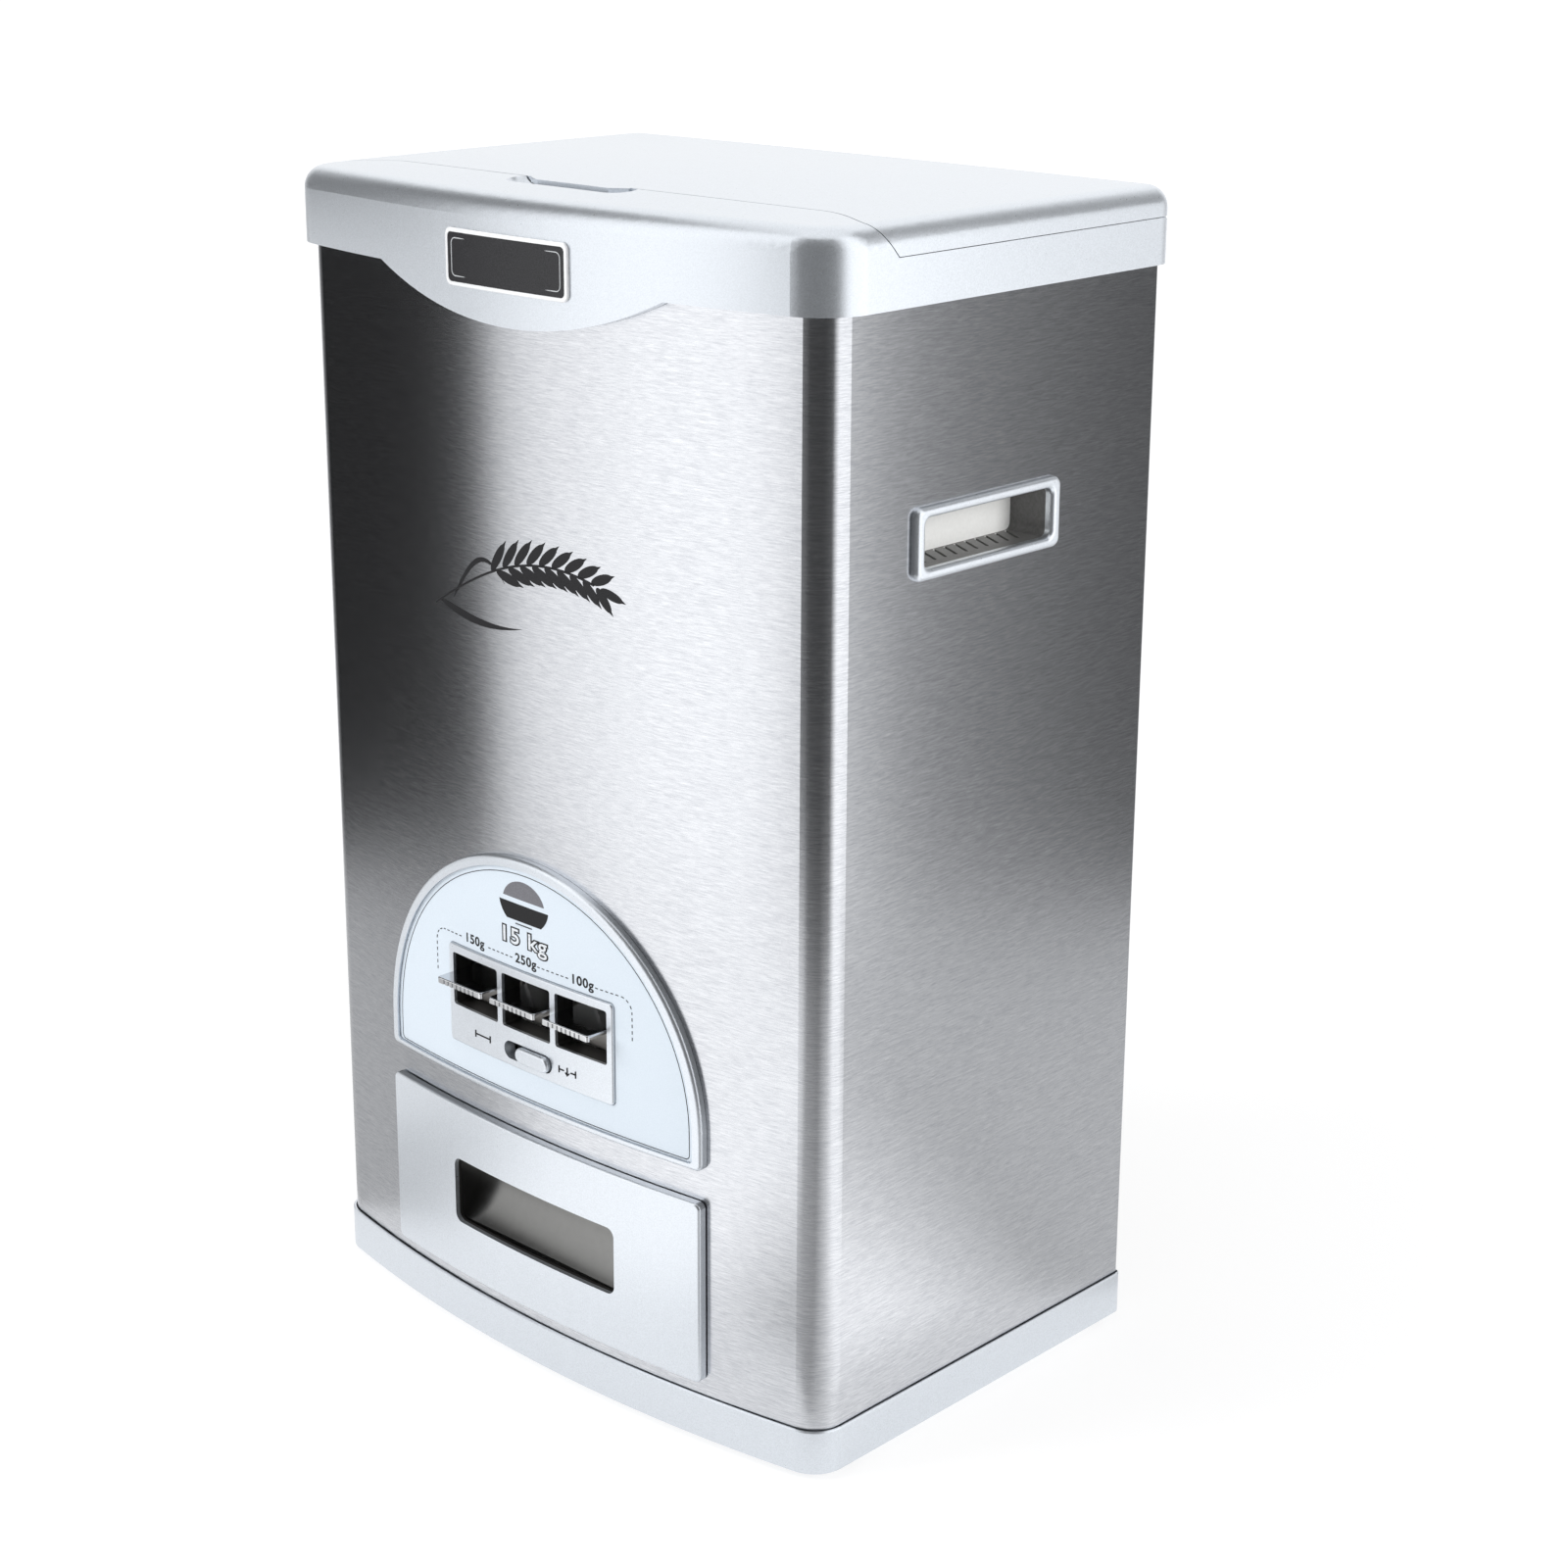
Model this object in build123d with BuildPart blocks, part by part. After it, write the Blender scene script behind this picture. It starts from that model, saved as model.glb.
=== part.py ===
from build123d import *
import math
import os

os.makedirs("parts", exist_ok=True)

# Outline of the steel cabinet, seen from above. The front is one shallow bow.
cabinet_half_width = 149.25
side_depth = 194.5
bow_rise = 16.0
cabinet_corner = 14.0
shell_rear_corner = 1.5
sheet = 1.0

# The origin sits under the middle of the overall depth, which runs from the key lips to the hinges.
lip_reach = 222.5
hinge_reach = 6.0
rear_y = (lip_reach - hinge_reach) / 2
bow_radius = (cabinet_half_width**2 + bow_rise**2) / (2 * bow_rise)
bow_centre_y = rear_y - side_depth - bow_rise + bow_radius
steel_front_y = rear_y - side_depth - bow_rise
front_clear_y = steel_front_y - 40.0
middle_y = steel_front_y + 72.25

# Heights above the floor
foot_height = 3.0
base_floor_top = 5.5
steel_bottom = 12.0
base_top = 21.8
collar_bottom = 469.0
collar_lap = 5.0
deck_hollow = 8.0
deck_thickness = 2.5
seam_step = 3.5
lid_side = 12.0
steel_top = collar_bottom + collar_lap
deck_underside = steel_top + deck_hollow
deck_top = deck_underside + deck_thickness
seam_height = deck_top + seam_step
rim_height = seam_height + lid_side

# Clearances
fit_gap = 0.3
seam_gap = 0.5
running_gap = 0.06
screw_gap = 0.05


def bow_y(x, offset):
    """Depth position of the bowed front, moved outward by the offset, at a distance x from the middle."""
    return bow_centre_y - math.sqrt((bow_radius + offset) ** 2 - x**2)


def plan(offset, corner, rear, rear_corner):
    """Plan outline with a bowed front, moved outward by the offset."""
    half = cabinet_half_width + offset
    with BuildSketch(mode=Mode.PRIVATE) as outline:
        with BuildLine():
            ThreePointArc(
                (-half, bow_y(half, offset)), (0, bow_y(0, offset)), (half, bow_y(half, offset))
            )
            Polyline(
                (half, bow_y(half, offset)), (half, rear), (-half, rear), (-half, bow_y(half, offset))
            )
        make_face()
        fillet(outline.vertices().sort_by(Axis.Y)[:2], corner)
        fillet(outline.vertices().sort_by(Axis.Y)[-2:], rear_corner)
    return outline.sketch


def bowed_plate(inner, outer, profile, low, high):
    """Plate that follows the bow between two offsets, cut to a front view profile."""
    half = 100.0
    with BuildPart(mode=Mode.PRIVATE) as plate:
        with BuildSketch(Plane.XY.offset(low)):
            with BuildLine():
                ThreePointArc((-half, bow_y(half, outer)), (0, bow_y(0, outer)), (half, bow_y(half, outer)))
                Line((half, bow_y(half, outer)), (half, bow_y(half, inner)))
                ThreePointArc((half, bow_y(half, inner)), (0, bow_y(0, inner)), (-half, bow_y(half, inner)))
                Line((-half, bow_y(half, inner)), (-half, bow_y(half, outer)))
            make_face()
        extrude(amount=high - low)
        with BuildSketch(Plane.XZ.offset(-middle_y)):
            add(profile)
        extrude(amount=middle_y - front_clear_y, mode=Mode.INTERSECT)
    return plate.part


def rectangle_at(x, z, width, height, corner):
    """Front view rectangle with rounded corners."""
    with BuildSketch(mode=Mode.PRIVATE) as shape:
        with Locations((x, z)):
            RectangleRounded(width, height, corner)
    return shape.sketch


def cross_screw(head_radius, head_height, shank_radius, shank_length):
    """Pan head screw along +Z, with the underside of the head at the origin."""
    with BuildPart(mode=Mode.PRIVATE) as screw:
        Cylinder(head_radius, head_height, align=(Align.CENTER, Align.CENTER, Align.MIN))
        fillet(screw.edges().sort_by(Axis.Z)[-1], head_height * 0.45)
        Cylinder(shank_radius, shank_length, align=(Align.CENTER, Align.CENTER, Align.MAX))
        with BuildSketch(Plane.XY.offset(head_height)):
            Rectangle(head_radius * 1.1, head_radius * 0.28)
            Rectangle(head_radius * 0.28, head_radius * 1.1)
        extrude(amount=-head_height * 0.5, mode=Mode.SUBTRACT)
    return screw.part


def save(piece, name):
    piece.part.label = name
    export_step(piece.part, f"parts/{name}.step")


# Base tray
base_offset = 1.6
base_corner = 15.0
base_rear_corner = 4.0
base_band_gap = 0.6
base_wall_inset = 2.2
base_lip_chamfer = 0.5
foot_x = cabinet_half_width - 11.25
foot_front_y = rear_y - side_depth + 19.25
foot_rear_y = rear_y - 13.25
foot_radius = 9.0
foot_pad_edge = 0.8
foot_stem_radius = 4.0
foot_stem_height = 2.5
foot_screw_shank = 1.5
foot_screw_head = 3.0
foot_screw_head_height = 1.6
foot_places = {
    "foot_front_left": (-foot_x, foot_front_y),
    "foot_front_right": (foot_x, foot_front_y),
    "foot_rear_left": (-foot_x, foot_rear_y),
    "foot_rear_right": (foot_x, foot_rear_y),
}
rib_height = 3.0
rib_thickness = 2.0

with BuildPart() as base_plinth:
    with BuildSketch(Plane.XY.offset(foot_height)):
        add(plan(base_offset, base_corner, rear_y + base_offset, base_rear_corner))
    extrude(amount=base_top - foot_height)
    chamfer(base_plinth.faces().sort_by(Axis.Z)[-1].edges(), base_lip_chamfer)
    with BuildSketch(Plane.XY.offset(steel_bottom)):
        add(plan(base_band_gap, cabinet_corner + base_band_gap, rear_y + base_band_gap, shell_rear_corner))
    extrude(amount=base_top - steel_bottom, mode=Mode.SUBTRACT)
    with BuildSketch(Plane.XY.offset(base_floor_top)):
        add(plan(-base_wall_inset, cabinet_corner, rear_y - base_wall_inset, base_rear_corner))
    extrude(amount=base_top - base_floor_top, mode=Mode.SUBTRACT)
    with BuildSketch(Plane.XY.offset(base_floor_top)):
        with Locations((-115, 15), (115, 15)):
            Rectangle(rib_thickness, 150)
        with Locations((0, 85)):
            Rectangle(240, rib_thickness)
    extrude(amount=rib_height)
    with BuildSketch(Plane.XY.offset(foot_height)):
        with Locations(*foot_places.values()):
            Circle(foot_stem_radius + screw_gap)
    extrude(amount=base_floor_top - foot_height, mode=Mode.SUBTRACT)
save(base_plinth, "base_plinth")

# Feet and the screws that hold them from above
for foot_name, place in foot_places.items():
    with BuildPart() as foot:
        with Locations((place[0], place[1], 0)):
            Cylinder(foot_radius, foot_height, align=(Align.CENTER, Align.CENTER, Align.MIN))
        chamfer(foot.faces().sort_by(Axis.Z)[0].edges(), foot_pad_edge)
        with Locations((place[0], place[1], foot_height)):
            Cylinder(foot_stem_radius, foot_stem_height, align=(Align.CENTER, Align.CENTER, Align.MIN))
        with Locations((place[0], place[1], 1.0)):
            Cylinder(
                foot_screw_shank + screw_gap,
                foot_height + foot_stem_height,
                align=(Align.CENTER, Align.CENTER, Align.MIN),
                mode=Mode.SUBTRACT,
            )
    save(foot, foot_name)

with BuildPart() as foot_screws:
    with Locations(*[(x, y, base_floor_top) for x, y in foot_places.values()]):
        add(cross_screw(foot_screw_head, foot_screw_head_height, foot_screw_shank, 4.0))
save(foot_screws, "foot_screws")

# Places on the front and on the sides that the steel leaves open
panel_radius = 95.6
panel_centre_z = 136.6
panel_bottom = 123.0
panel_rim_width = 4.2
panel_cutout_radius = 88.0
panel_cutout_bottom = 129.0
drawer_front_half = 95.2
drawer_front_bottom = 28.8
drawer_front_top = 109.0
drawer_cutout_half = 91.5
drawer_cutout_bottom = 32.8
drawer_cutout_top = 105.0
handle_y = 3.0
handle_z = collar_bottom - 91.0
handle_outer_length = 86.5
handle_outer_height = 28.6
handle_mouth_length = 76.0
handle_mouth_height = 20.0
handle_cutout_length = 79.0
handle_cutout_height = 23.0
handle_corner = 4.0
flange_width = 14.0


def dome(radius, bottom, corner):
    """Front view of the half-round panel with a straight foot."""
    with BuildSketch(mode=Mode.PRIVATE) as shape:
        with BuildLine():
            ThreePointArc(
                (radius, panel_centre_z), (0, panel_centre_z + radius), (-radius, panel_centre_z)
            )
            Polyline(
                (-radius, panel_centre_z),
                (-radius, bottom),
                (radius, bottom),
                (radius, panel_centre_z),
            )
        make_face()
        fillet(shape.vertices().sort_by(Axis.Y)[:2], corner)
    return shape.sketch


# Steel wrap, open at the back between two flanges
rear_window_bottom = 30.0
rear_window_top = steel_top - 14.0
rear_screw_x = cabinet_half_width - flange_width / 2
rear_screw_heights = (45.0, 175.0, 315.0, steel_top - 29.0)
rear_screw_shank = 1.5
rear_screw_head = 3.2
rear_screw_head_height = 1.5
rear_screw_length = 3.0

with BuildPart() as cabinet_shell:
    with BuildSketch(Plane.XY.offset(steel_bottom)):
        add(plan(0, cabinet_corner, rear_y, shell_rear_corner))
    extrude(amount=steel_top - steel_bottom)
    with BuildSketch(Plane.XY.offset(steel_bottom)):
        add(plan(-sheet, cabinet_corner - sheet, rear_y - sheet, 0.5))
    extrude(amount=steel_top - steel_bottom, mode=Mode.SUBTRACT)
    with BuildSketch(Plane.XZ.offset(-middle_y)):
        add(dome(panel_cutout_radius, panel_cutout_bottom, 4.0))
        add(
            rectangle_at(
                0,
                (drawer_cutout_bottom + drawer_cutout_top) / 2,
                drawer_cutout_half * 2,
                drawer_cutout_top - drawer_cutout_bottom,
                4.0,
            )
        )
    extrude(amount=middle_y - front_clear_y, mode=Mode.SUBTRACT)
    with BuildSketch(Plane.YZ.offset(-200)):
        with Locations((handle_y, handle_z)):
            RectangleRounded(handle_cutout_length, handle_cutout_height, handle_corner)
    extrude(amount=400, mode=Mode.SUBTRACT)
    with BuildSketch(Plane.XZ.offset(-rear_y - 5)):
        with Locations((0, (rear_window_bottom + rear_window_top) / 2)):
            RectangleRounded(
                2 * (cabinet_half_width - flange_width), rear_window_top - rear_window_bottom, 8.0
            )
        with Locations(*[(side * rear_screw_x, z) for side in (-1, 1) for z in rear_screw_heights]):
            Circle(rear_screw_shank + screw_gap)
    extrude(amount=20, mode=Mode.SUBTRACT)
save(cabinet_shell, "cabinet_shell")

# Back sheet with two pressed beads
panel_sheet = 1.2
rear_panel_half = cabinet_half_width - 3.25
rear_panel_bottom = 24.0
rear_panel_top = steel_top - 8.0
bead_x = 70.0
bead_width = 16.0
bead_depth = 1.6

with BuildPart() as rear_panel:
    with BuildSketch(Plane.XZ.offset(-rear_y)):
        with Locations((0, (rear_panel_bottom + rear_panel_top) / 2)):
            RectangleRounded(2 * rear_panel_half, rear_panel_top - rear_panel_bottom, 5.0)
        with Locations(*[(side * rear_screw_x, z) for side in (-1, 1) for z in rear_screw_heights]):
            Circle(rear_screw_shank + screw_gap, mode=Mode.SUBTRACT)
    extrude(amount=-panel_sheet)
    with BuildSketch(Plane.XZ.offset(-rear_y - panel_sheet)):
        with Locations((-bead_x, 245), (bead_x, 245)):
            RectangleRounded(bead_width, 380, bead_width / 2 - 0.5)
    extrude(amount=-bead_depth, taper=30)
    with BuildSketch(Plane.XZ.offset(-rear_y)):
        with Locations((-bead_x, 245), (bead_x, 245)):
            RectangleRounded(bead_width - 3, 377, bead_width / 2 - 2.5)
    extrude(amount=-bead_depth, taper=30, mode=Mode.SUBTRACT)
save(rear_panel, "rear_panel")

with BuildPart() as rear_screws:
    for side in (-1, 1):
        for z in rear_screw_heights:
            with Locations(Location((side * rear_screw_x, rear_y + panel_sheet, z), (-90, 0, 0))):
                add(
                    cross_screw(
                        rear_screw_head, rear_screw_head_height, rear_screw_shank, rear_screw_length
                    )
                )
save(rear_screws, "rear_screws")

# Collar and lid share one crowned and rolled top surface
collar_offset = 5.25
collar_corner = 22.0
collar_rear_y = rear_y + 4.0
collar_rear_corner = 10.5
top_roll = 9.0
crown_half_width = cabinet_half_width + 7.75
crown_front_y = steel_front_y - 8.25
crown_rear_y = rear_y + 6.75
crown_front_lift = 16.0
crown_rear_lift = 6.0
top_clear = rim_height + 20.0


def crown(drop):
    """Gently crowned surface, flat along its four borders, lowered by the drop."""
    third = (crown_rear_y - crown_front_y) / 3
    base = rim_height - drop
    rows = [
        (crown_front_y, 0),
        (crown_front_y + third, crown_front_lift),
        (crown_front_y + 2 * third, crown_rear_lift),
        (crown_rear_y, 0),
    ]
    return Face.make_bezier_surface(
        [
            [
                Vector(-crown_half_width, y, base),
                Vector(0, y, base + lift),
                Vector(crown_half_width, y, base),
            ]
            for y, lift in rows
        ]
    )


def crowned_block(inset, low, drop, roll):
    """Solid below the crowned surface inside the collar outline moved in by the inset."""
    with BuildPart(mode=Mode.PRIVATE) as block:
        with BuildSketch(Plane.XY.offset(low)):
            add(
                plan(
                    collar_offset - inset,
                    collar_corner - inset,
                    collar_rear_y - inset,
                    collar_rear_corner - inset,
                )
            )
        extrude(amount=top_clear - low)
        extrude(crown(drop), amount=40, dir=(0, 0, 1), mode=Mode.SUBTRACT)
        fillet(block.faces().sort_by(Axis.Z)[-1].edges(), roll)
    return block.part


# The seam between the front strip and the lid runs parallel to the bow and sweeps forward at the sides
seam_inset = 39.0
seam_arc_half = cabinet_half_width - 30.25
seam_middle_y = bow_y(0, collar_offset - seam_inset)
horn_x = seam_arc_half + 29.0
horn_y = bow_y(seam_arc_half, collar_offset - seam_inset) - 9.35
seam_far = cabinet_half_width + 30.75
wedge_inner_x = horn_x - 2.5
lid_wall = 2.4
skirt_tip_y = horn_y + 11.2
skirt_bend_y = horn_y + 5.2
skirt_bend_z = seam_height + 6.5


def seam_plan(gap):
    """Everything behind the seam line, seen from above, moved back by the gap."""
    arc_offset = collar_offset - seam_inset
    arc_end_y = bow_y(seam_arc_half, arc_offset) + gap
    with BuildSketch(mode=Mode.PRIVATE) as region:
        with BuildLine():
            ThreePointArc(
                (-seam_arc_half, arc_end_y),
                (0, bow_y(0, arc_offset) + gap),
                (seam_arc_half, arc_end_y),
            )
            for side in (-1, 1):
                Spline(
                    (side * seam_arc_half, arc_end_y),
                    (side * (seam_arc_half + 11.0), arc_end_y - 1.3),
                    (side * (seam_arc_half + 20.5), arc_end_y - 5.5),
                    (side * horn_x, horn_y + gap),
                )
                Line((side * horn_x, horn_y + gap), (side * seam_far, horn_y + gap))
                Line((side * seam_far, horn_y + gap), (side * seam_far, seam_far))
            Line((-seam_far, seam_far), (seam_far, seam_far))
        make_face()
    return region.sketch


def side_wedges(gap):
    """Slanted front end of the side skirt, as two blocks that stay with the collar."""
    inner = wedge_inner_x - gap
    with BuildPart(mode=Mode.PRIVATE) as wedges:
        for side in (-1, 1):
            with BuildSketch(Plane.YZ.offset(side * inner)):
                with BuildLine():
                    Polyline(
                        (horn_y - 3, seam_height - 4),
                        (skirt_tip_y + gap, seam_height - 4),
                        (skirt_tip_y + gap, seam_height),
                        (skirt_bend_y + gap, skirt_bend_z),
                        (horn_y + gap, rim_height + 1),
                        (horn_y - 3, rim_height + 1),
                        close=True,
                    )
                make_face()
            extrude(amount=side * 15)
    return wedges.part


# Hinge at the back
hinge_y = rear_y + 3.0
hinge_z = seam_height + 1.0
knuckle_radius = 3.0
knuckle_clear = 3.6
hinge_pin_radius = 1.2
knuckle_inner = cabinet_half_width - 21.75
lid_knuckle = (knuckle_inner + 6.5, knuckle_inner + 13.5)
collar_knuckles = ((knuckle_inner, knuckle_inner + 6.0), (knuckle_inner + 14.0, knuckle_inner + 20.0))
knuckle_end_gap = 0.5
pin_fit = 0.02
rear_wall_top = seam_height - 1.4


def x_cylinder(radius, start, end, y, z):
    """Cylinder along X between two positions."""
    with BuildPart(mode=Mode.PRIVATE) as rod:
        with BuildSketch(Plane.YZ.offset(start)):
            with Locations((y, z)):
                Circle(radius)
        extrude(amount=end - start)
    return rod.part


# Collar
collar_cavity_offset = -2.5
steel_pocket_offset = 0.4
wall_top = seam_height - fit_gap
deck_wall_offset = 2.25
strip_cavity_top = rim_height - 3.5
strip_wall = 3.0
opening_half_width = cabinet_half_width - 23.25
opening_front_y = steel_front_y + 64.25
opening_rear_y = rear_y - 26.25
opening_corner = 16.0
opening_centre_y = (opening_front_y + opening_rear_y) / 2
opening_depth = opening_rear_y - opening_front_y
opening_rim = 2.0
opening_rim_height = 2.5
apron_bottom = collar_bottom - 18.3
apron_radius = 188.4
scoop_radius = 9.0
scoop_half = 26.0
scoop_y = seam_middle_y - 4.5
scoop_z = rim_height + 7.5

apron_profile = Sketch() + Pos(0, apron_bottom + apron_radius) * Circle(apron_radius)
apron = bowed_plate(steel_pocket_offset, collar_offset, apron_profile, apron_bottom - 2, collar_bottom + 1)

with BuildPart() as top_collar:
    add(crowned_block(0, collar_bottom, 0, top_roll))
    # Space for the lid behind the seam
    with BuildSketch(Plane.XY.offset(wall_top)):
        add(seam_plan(0))
    extrude(amount=top_clear - wall_top, mode=Mode.SUBTRACT)
    add(side_wedges(0) & crowned_block(0, collar_bottom, 0, top_roll))
    # Deck below the lid
    with BuildSketch(Plane.XY.offset(deck_top)):
        add(
            plan(deck_wall_offset, collar_corner - 3, collar_rear_y - 3, collar_rear_corner - 3)
            & seam_plan(0)
        )
        with Locations((-wedge_inner_x - 20, horn_y), (wedge_inner_x + 20, horn_y)):
            Rectangle(40, 24, mode=Mode.SUBTRACT)
    extrude(amount=wall_top - deck_top, mode=Mode.SUBTRACT)
    # Hollow below the deck and below the front strip
    with BuildSketch(Plane.XY.offset(collar_bottom)):
        add(
            plan(
                steel_pocket_offset,
                cabinet_corner + steel_pocket_offset,
                rear_y + steel_pocket_offset,
                shell_rear_corner,
            )
        )
    extrude(amount=steel_top - collar_bottom, mode=Mode.SUBTRACT)
    with BuildSketch(Plane.XY.offset(steel_top)):
        add(plan(collar_cavity_offset, cabinet_corner, rear_y - 2.5, 2.0))
    extrude(amount=deck_underside - steel_top, mode=Mode.SUBTRACT)
    with BuildSketch(Plane.XY.offset(steel_top)):
        add(plan(collar_cavity_offset, cabinet_corner, rear_y - 2.5, 2.0) - seam_plan(-strip_wall))
    extrude(amount=strip_cavity_top - steel_top, mode=Mode.SUBTRACT)
    # Fill opening with a low rim
    with BuildSketch(Plane.XY.offset(deck_top)):
        with Locations((0, opening_centre_y)):
            RectangleRounded(
                2 * (opening_half_width + opening_rim),
                opening_depth + 2 * opening_rim,
                opening_corner + opening_rim,
            )
    extrude(amount=opening_rim_height)
    with BuildSketch(Plane.XY.offset(deck_underside)):
        with Locations((0, opening_centre_y)):
            RectangleRounded(2 * opening_half_width, opening_depth, opening_corner)
    extrude(amount=top_clear - deck_underside, mode=Mode.SUBTRACT)
    # Finger scoop in front of the lid tab
    with Locations(Location((0, scoop_y, scoop_z), (0, 90, 0))):
        Cylinder(scoop_radius, 2 * scoop_half, mode=Mode.SUBTRACT)
    with Locations((-scoop_half, scoop_y, scoop_z), (scoop_half, scoop_y, scoop_z)):
        Sphere(scoop_radius, mode=Mode.SUBTRACT)
    # Lower wall at the back, hinge knuckles and their bores
    with BuildSketch(Plane.XY.offset(rear_wall_top)):
        with Locations((0, collar_rear_y)):
            Rectangle(2 * lid_knuckle[1] + 30, 14)
    extrude(amount=5, mode=Mode.SUBTRACT)
    for side in (-1, 1):
        for start, end in collar_knuckles:
            add(x_cylinder(knuckle_radius, side * start, side * end, hinge_y, hinge_z))
            with BuildSketch(Plane.XY.offset(deck_top)):
                with Locations((side * (start + end) / 2, collar_rear_y - 1.5)):
                    Rectangle(end - start, 3.0)
            extrude(amount=hinge_z - deck_top)
        add(
            x_cylinder(
                knuckle_clear,
                side * (lid_knuckle[0] - knuckle_end_gap),
                side * (lid_knuckle[1] + knuckle_end_gap),
                hinge_y,
                hinge_z,
            ),
            mode=Mode.SUBTRACT,
        )
        add(
            x_cylinder(
                hinge_pin_radius + pin_fit,
                side * (collar_knuckles[0][0] - 1.5),
                side * (collar_knuckles[1][1] + 2.5),
                hinge_y,
                hinge_z,
            ),
            mode=Mode.SUBTRACT,
        )
    add(apron)
save(top_collar, "top_collar")

for side, side_name in ((-1, "left"), (1, "right")):
    with BuildPart() as hinge_pin:
        add(
            x_cylinder(
                hinge_pin_radius,
                side * collar_knuckles[0][0],
                side * collar_knuckles[1][1],
                hinge_y,
                hinge_z,
            )
        )
    save(hinge_pin, f"hinge_pin_{side_name}")

# Lid
tab_root_half = 28.0
tab_front_half = 20.5
tab_reach = 3.8
tab_bottom = rim_height + 1.0
seal_width = 3.0
seal_clearance = 4.0
seal_rib_bottom = seam_height + 1.0

lid_skin = crowned_block(0, seam_height, 0, top_roll)
with BuildPart() as lid_room:
    add(crowned_block(lid_wall, seam_height - 2, lid_wall, top_roll - lid_wall))
    with BuildSketch(Plane.XY.offset(seam_height - 2)):
        add(seam_plan(seam_gap + lid_wall))
    extrude(amount=top_clear - seam_height, mode=Mode.INTERSECT)

with BuildPart() as seal_rib:
    with BuildSketch(Plane.XY.offset(seal_rib_bottom)):
        with Locations((0, opening_centre_y)):
            RectangleRounded(
                2 * (opening_half_width + seal_clearance + seal_width),
                opening_depth + 2 * (seal_clearance + seal_width),
                opening_corner + seal_clearance + seal_width,
            )
            RectangleRounded(
                2 * (opening_half_width + seal_clearance),
                opening_depth + 2 * seal_clearance,
                opening_corner + seal_clearance,
                mode=Mode.SUBTRACT,
            )
    extrude(amount=top_clear - seal_rib_bottom)
    extrude(crown(lid_wall / 2), amount=40, dir=(0, 0, 1), mode=Mode.SUBTRACT)

with BuildPart() as lid:
    add(lid_skin)
    with BuildSketch(Plane.XY.offset(seam_height)):
        add(seam_plan(seam_gap))
    extrude(amount=top_clear - seam_height, mode=Mode.INTERSECT)
    add(lid_room.part, mode=Mode.SUBTRACT)
    add(side_wedges(seam_gap), mode=Mode.SUBTRACT)
    add(seal_rib.part)
    # Finger tab
    with BuildPart(mode=Mode.PRIVATE) as tab:
        with BuildSketch(Plane.XY.offset(tab_bottom)):
            with BuildLine():
                Polyline(
                    (-tab_root_half, seam_middle_y + 2.0),
                    (-tab_root_half, seam_middle_y),
                    (-tab_front_half, seam_middle_y - tab_reach),
                    (tab_front_half, seam_middle_y - tab_reach),
                    (tab_root_half, seam_middle_y),
                    (tab_root_half, seam_middle_y + 2.0),
                    close=True,
                )
            make_face()
        extrude(amount=10)
        extrude(crown(0), amount=40, dir=(0, 0, 1), mode=Mode.SUBTRACT)
    add(tab.part)
    for side in (-1, 1):
        add(x_cylinder(knuckle_radius, side * lid_knuckle[0], side * lid_knuckle[1], hinge_y, hinge_z))
        for start, end in collar_knuckles:
            add(
                x_cylinder(
                    knuckle_clear,
                    side * (start - knuckle_end_gap),
                    side * (end + knuckle_end_gap),
                    hinge_y,
                    hinge_z,
                ),
                mode=Mode.SUBTRACT,
            )
        add(
            x_cylinder(
                hinge_pin_radius + running_gap,
                side * (lid_knuckle[0] - 1),
                side * (lid_knuckle[1] + 1),
                hinge_y,
                hinge_z,
            ),
            mode=Mode.SUBTRACT,
        )
save(lid, "lid")

with BuildPart() as lid_seal:
    with BuildSketch(Plane.XY.offset(deck_top + fit_gap)):
        with Locations((0, opening_centre_y)):
            RectangleRounded(
                2 * (opening_half_width + seal_clearance + seal_width),
                opening_depth + 2 * (seal_clearance + seal_width),
                opening_corner + seal_clearance + seal_width,
            )
            RectangleRounded(
                2 * (opening_half_width + seal_clearance),
                opening_depth + 2 * seal_clearance,
                opening_corner + seal_clearance,
                mode=Mode.SUBTRACT,
            )
    extrude(amount=seal_rib_bottom - deck_top - fit_gap)
save(lid_seal, "lid_seal")

# Badge on the bulge of the collar
badge_width = 70.0
badge_height = 22.6
badge_z = collar_bottom + 6.4
badge_back = collar_offset + 0.1
badge_face = 6.5
badge_floor = 5.95
badge_corner = 3.0
field_width = 67.0
field_height = 19.4
field_face = 6.3
field_corner = 2.0
badge_low = badge_z - badge_height
badge_high = badge_z + badge_height

badge_outline = rectangle_at(0, badge_z, badge_width, badge_height, badge_corner)
field_outline = rectangle_at(0, badge_z, field_width, field_height, field_corner)
inset_outline = rectangle_at(0, badge_z, field_width - 0.2, field_height - 0.2, field_corner - 0.1)
badge_body = bowed_plate(badge_back, badge_face, badge_outline, badge_low, badge_high)
badge_pocket = bowed_plate(badge_floor, badge_face + 1, field_outline, badge_low, badge_high)
with BuildPart() as badge_plate:
    add(badge_body)
    fillet(badge_plate.faces().sort_by(Axis.Y)[0].edges(), 0.4)
    add(badge_pocket, mode=Mode.SUBTRACT)
save(badge_plate, "badge_plate")

with BuildPart() as badge_inset:
    add(bowed_plate(badge_floor + 0.02, field_face, inset_outline, badge_low, badge_high))
save(badge_inset, "badge_inset")

# Side grips
bezel_thickness = 3.0
bezel_round = 2.2
mouth_round = 1.9
cup_depth = 19.5
cup_wall = 1.8
cup_flange = 2.0
cup_flange_margin = 7.0
neck_wall = 1.0
slot_count = 11
slot_pitch = 6.25
slot_length = 13.0
slot_width = 1.4
slot_depth = 0.9

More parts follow.
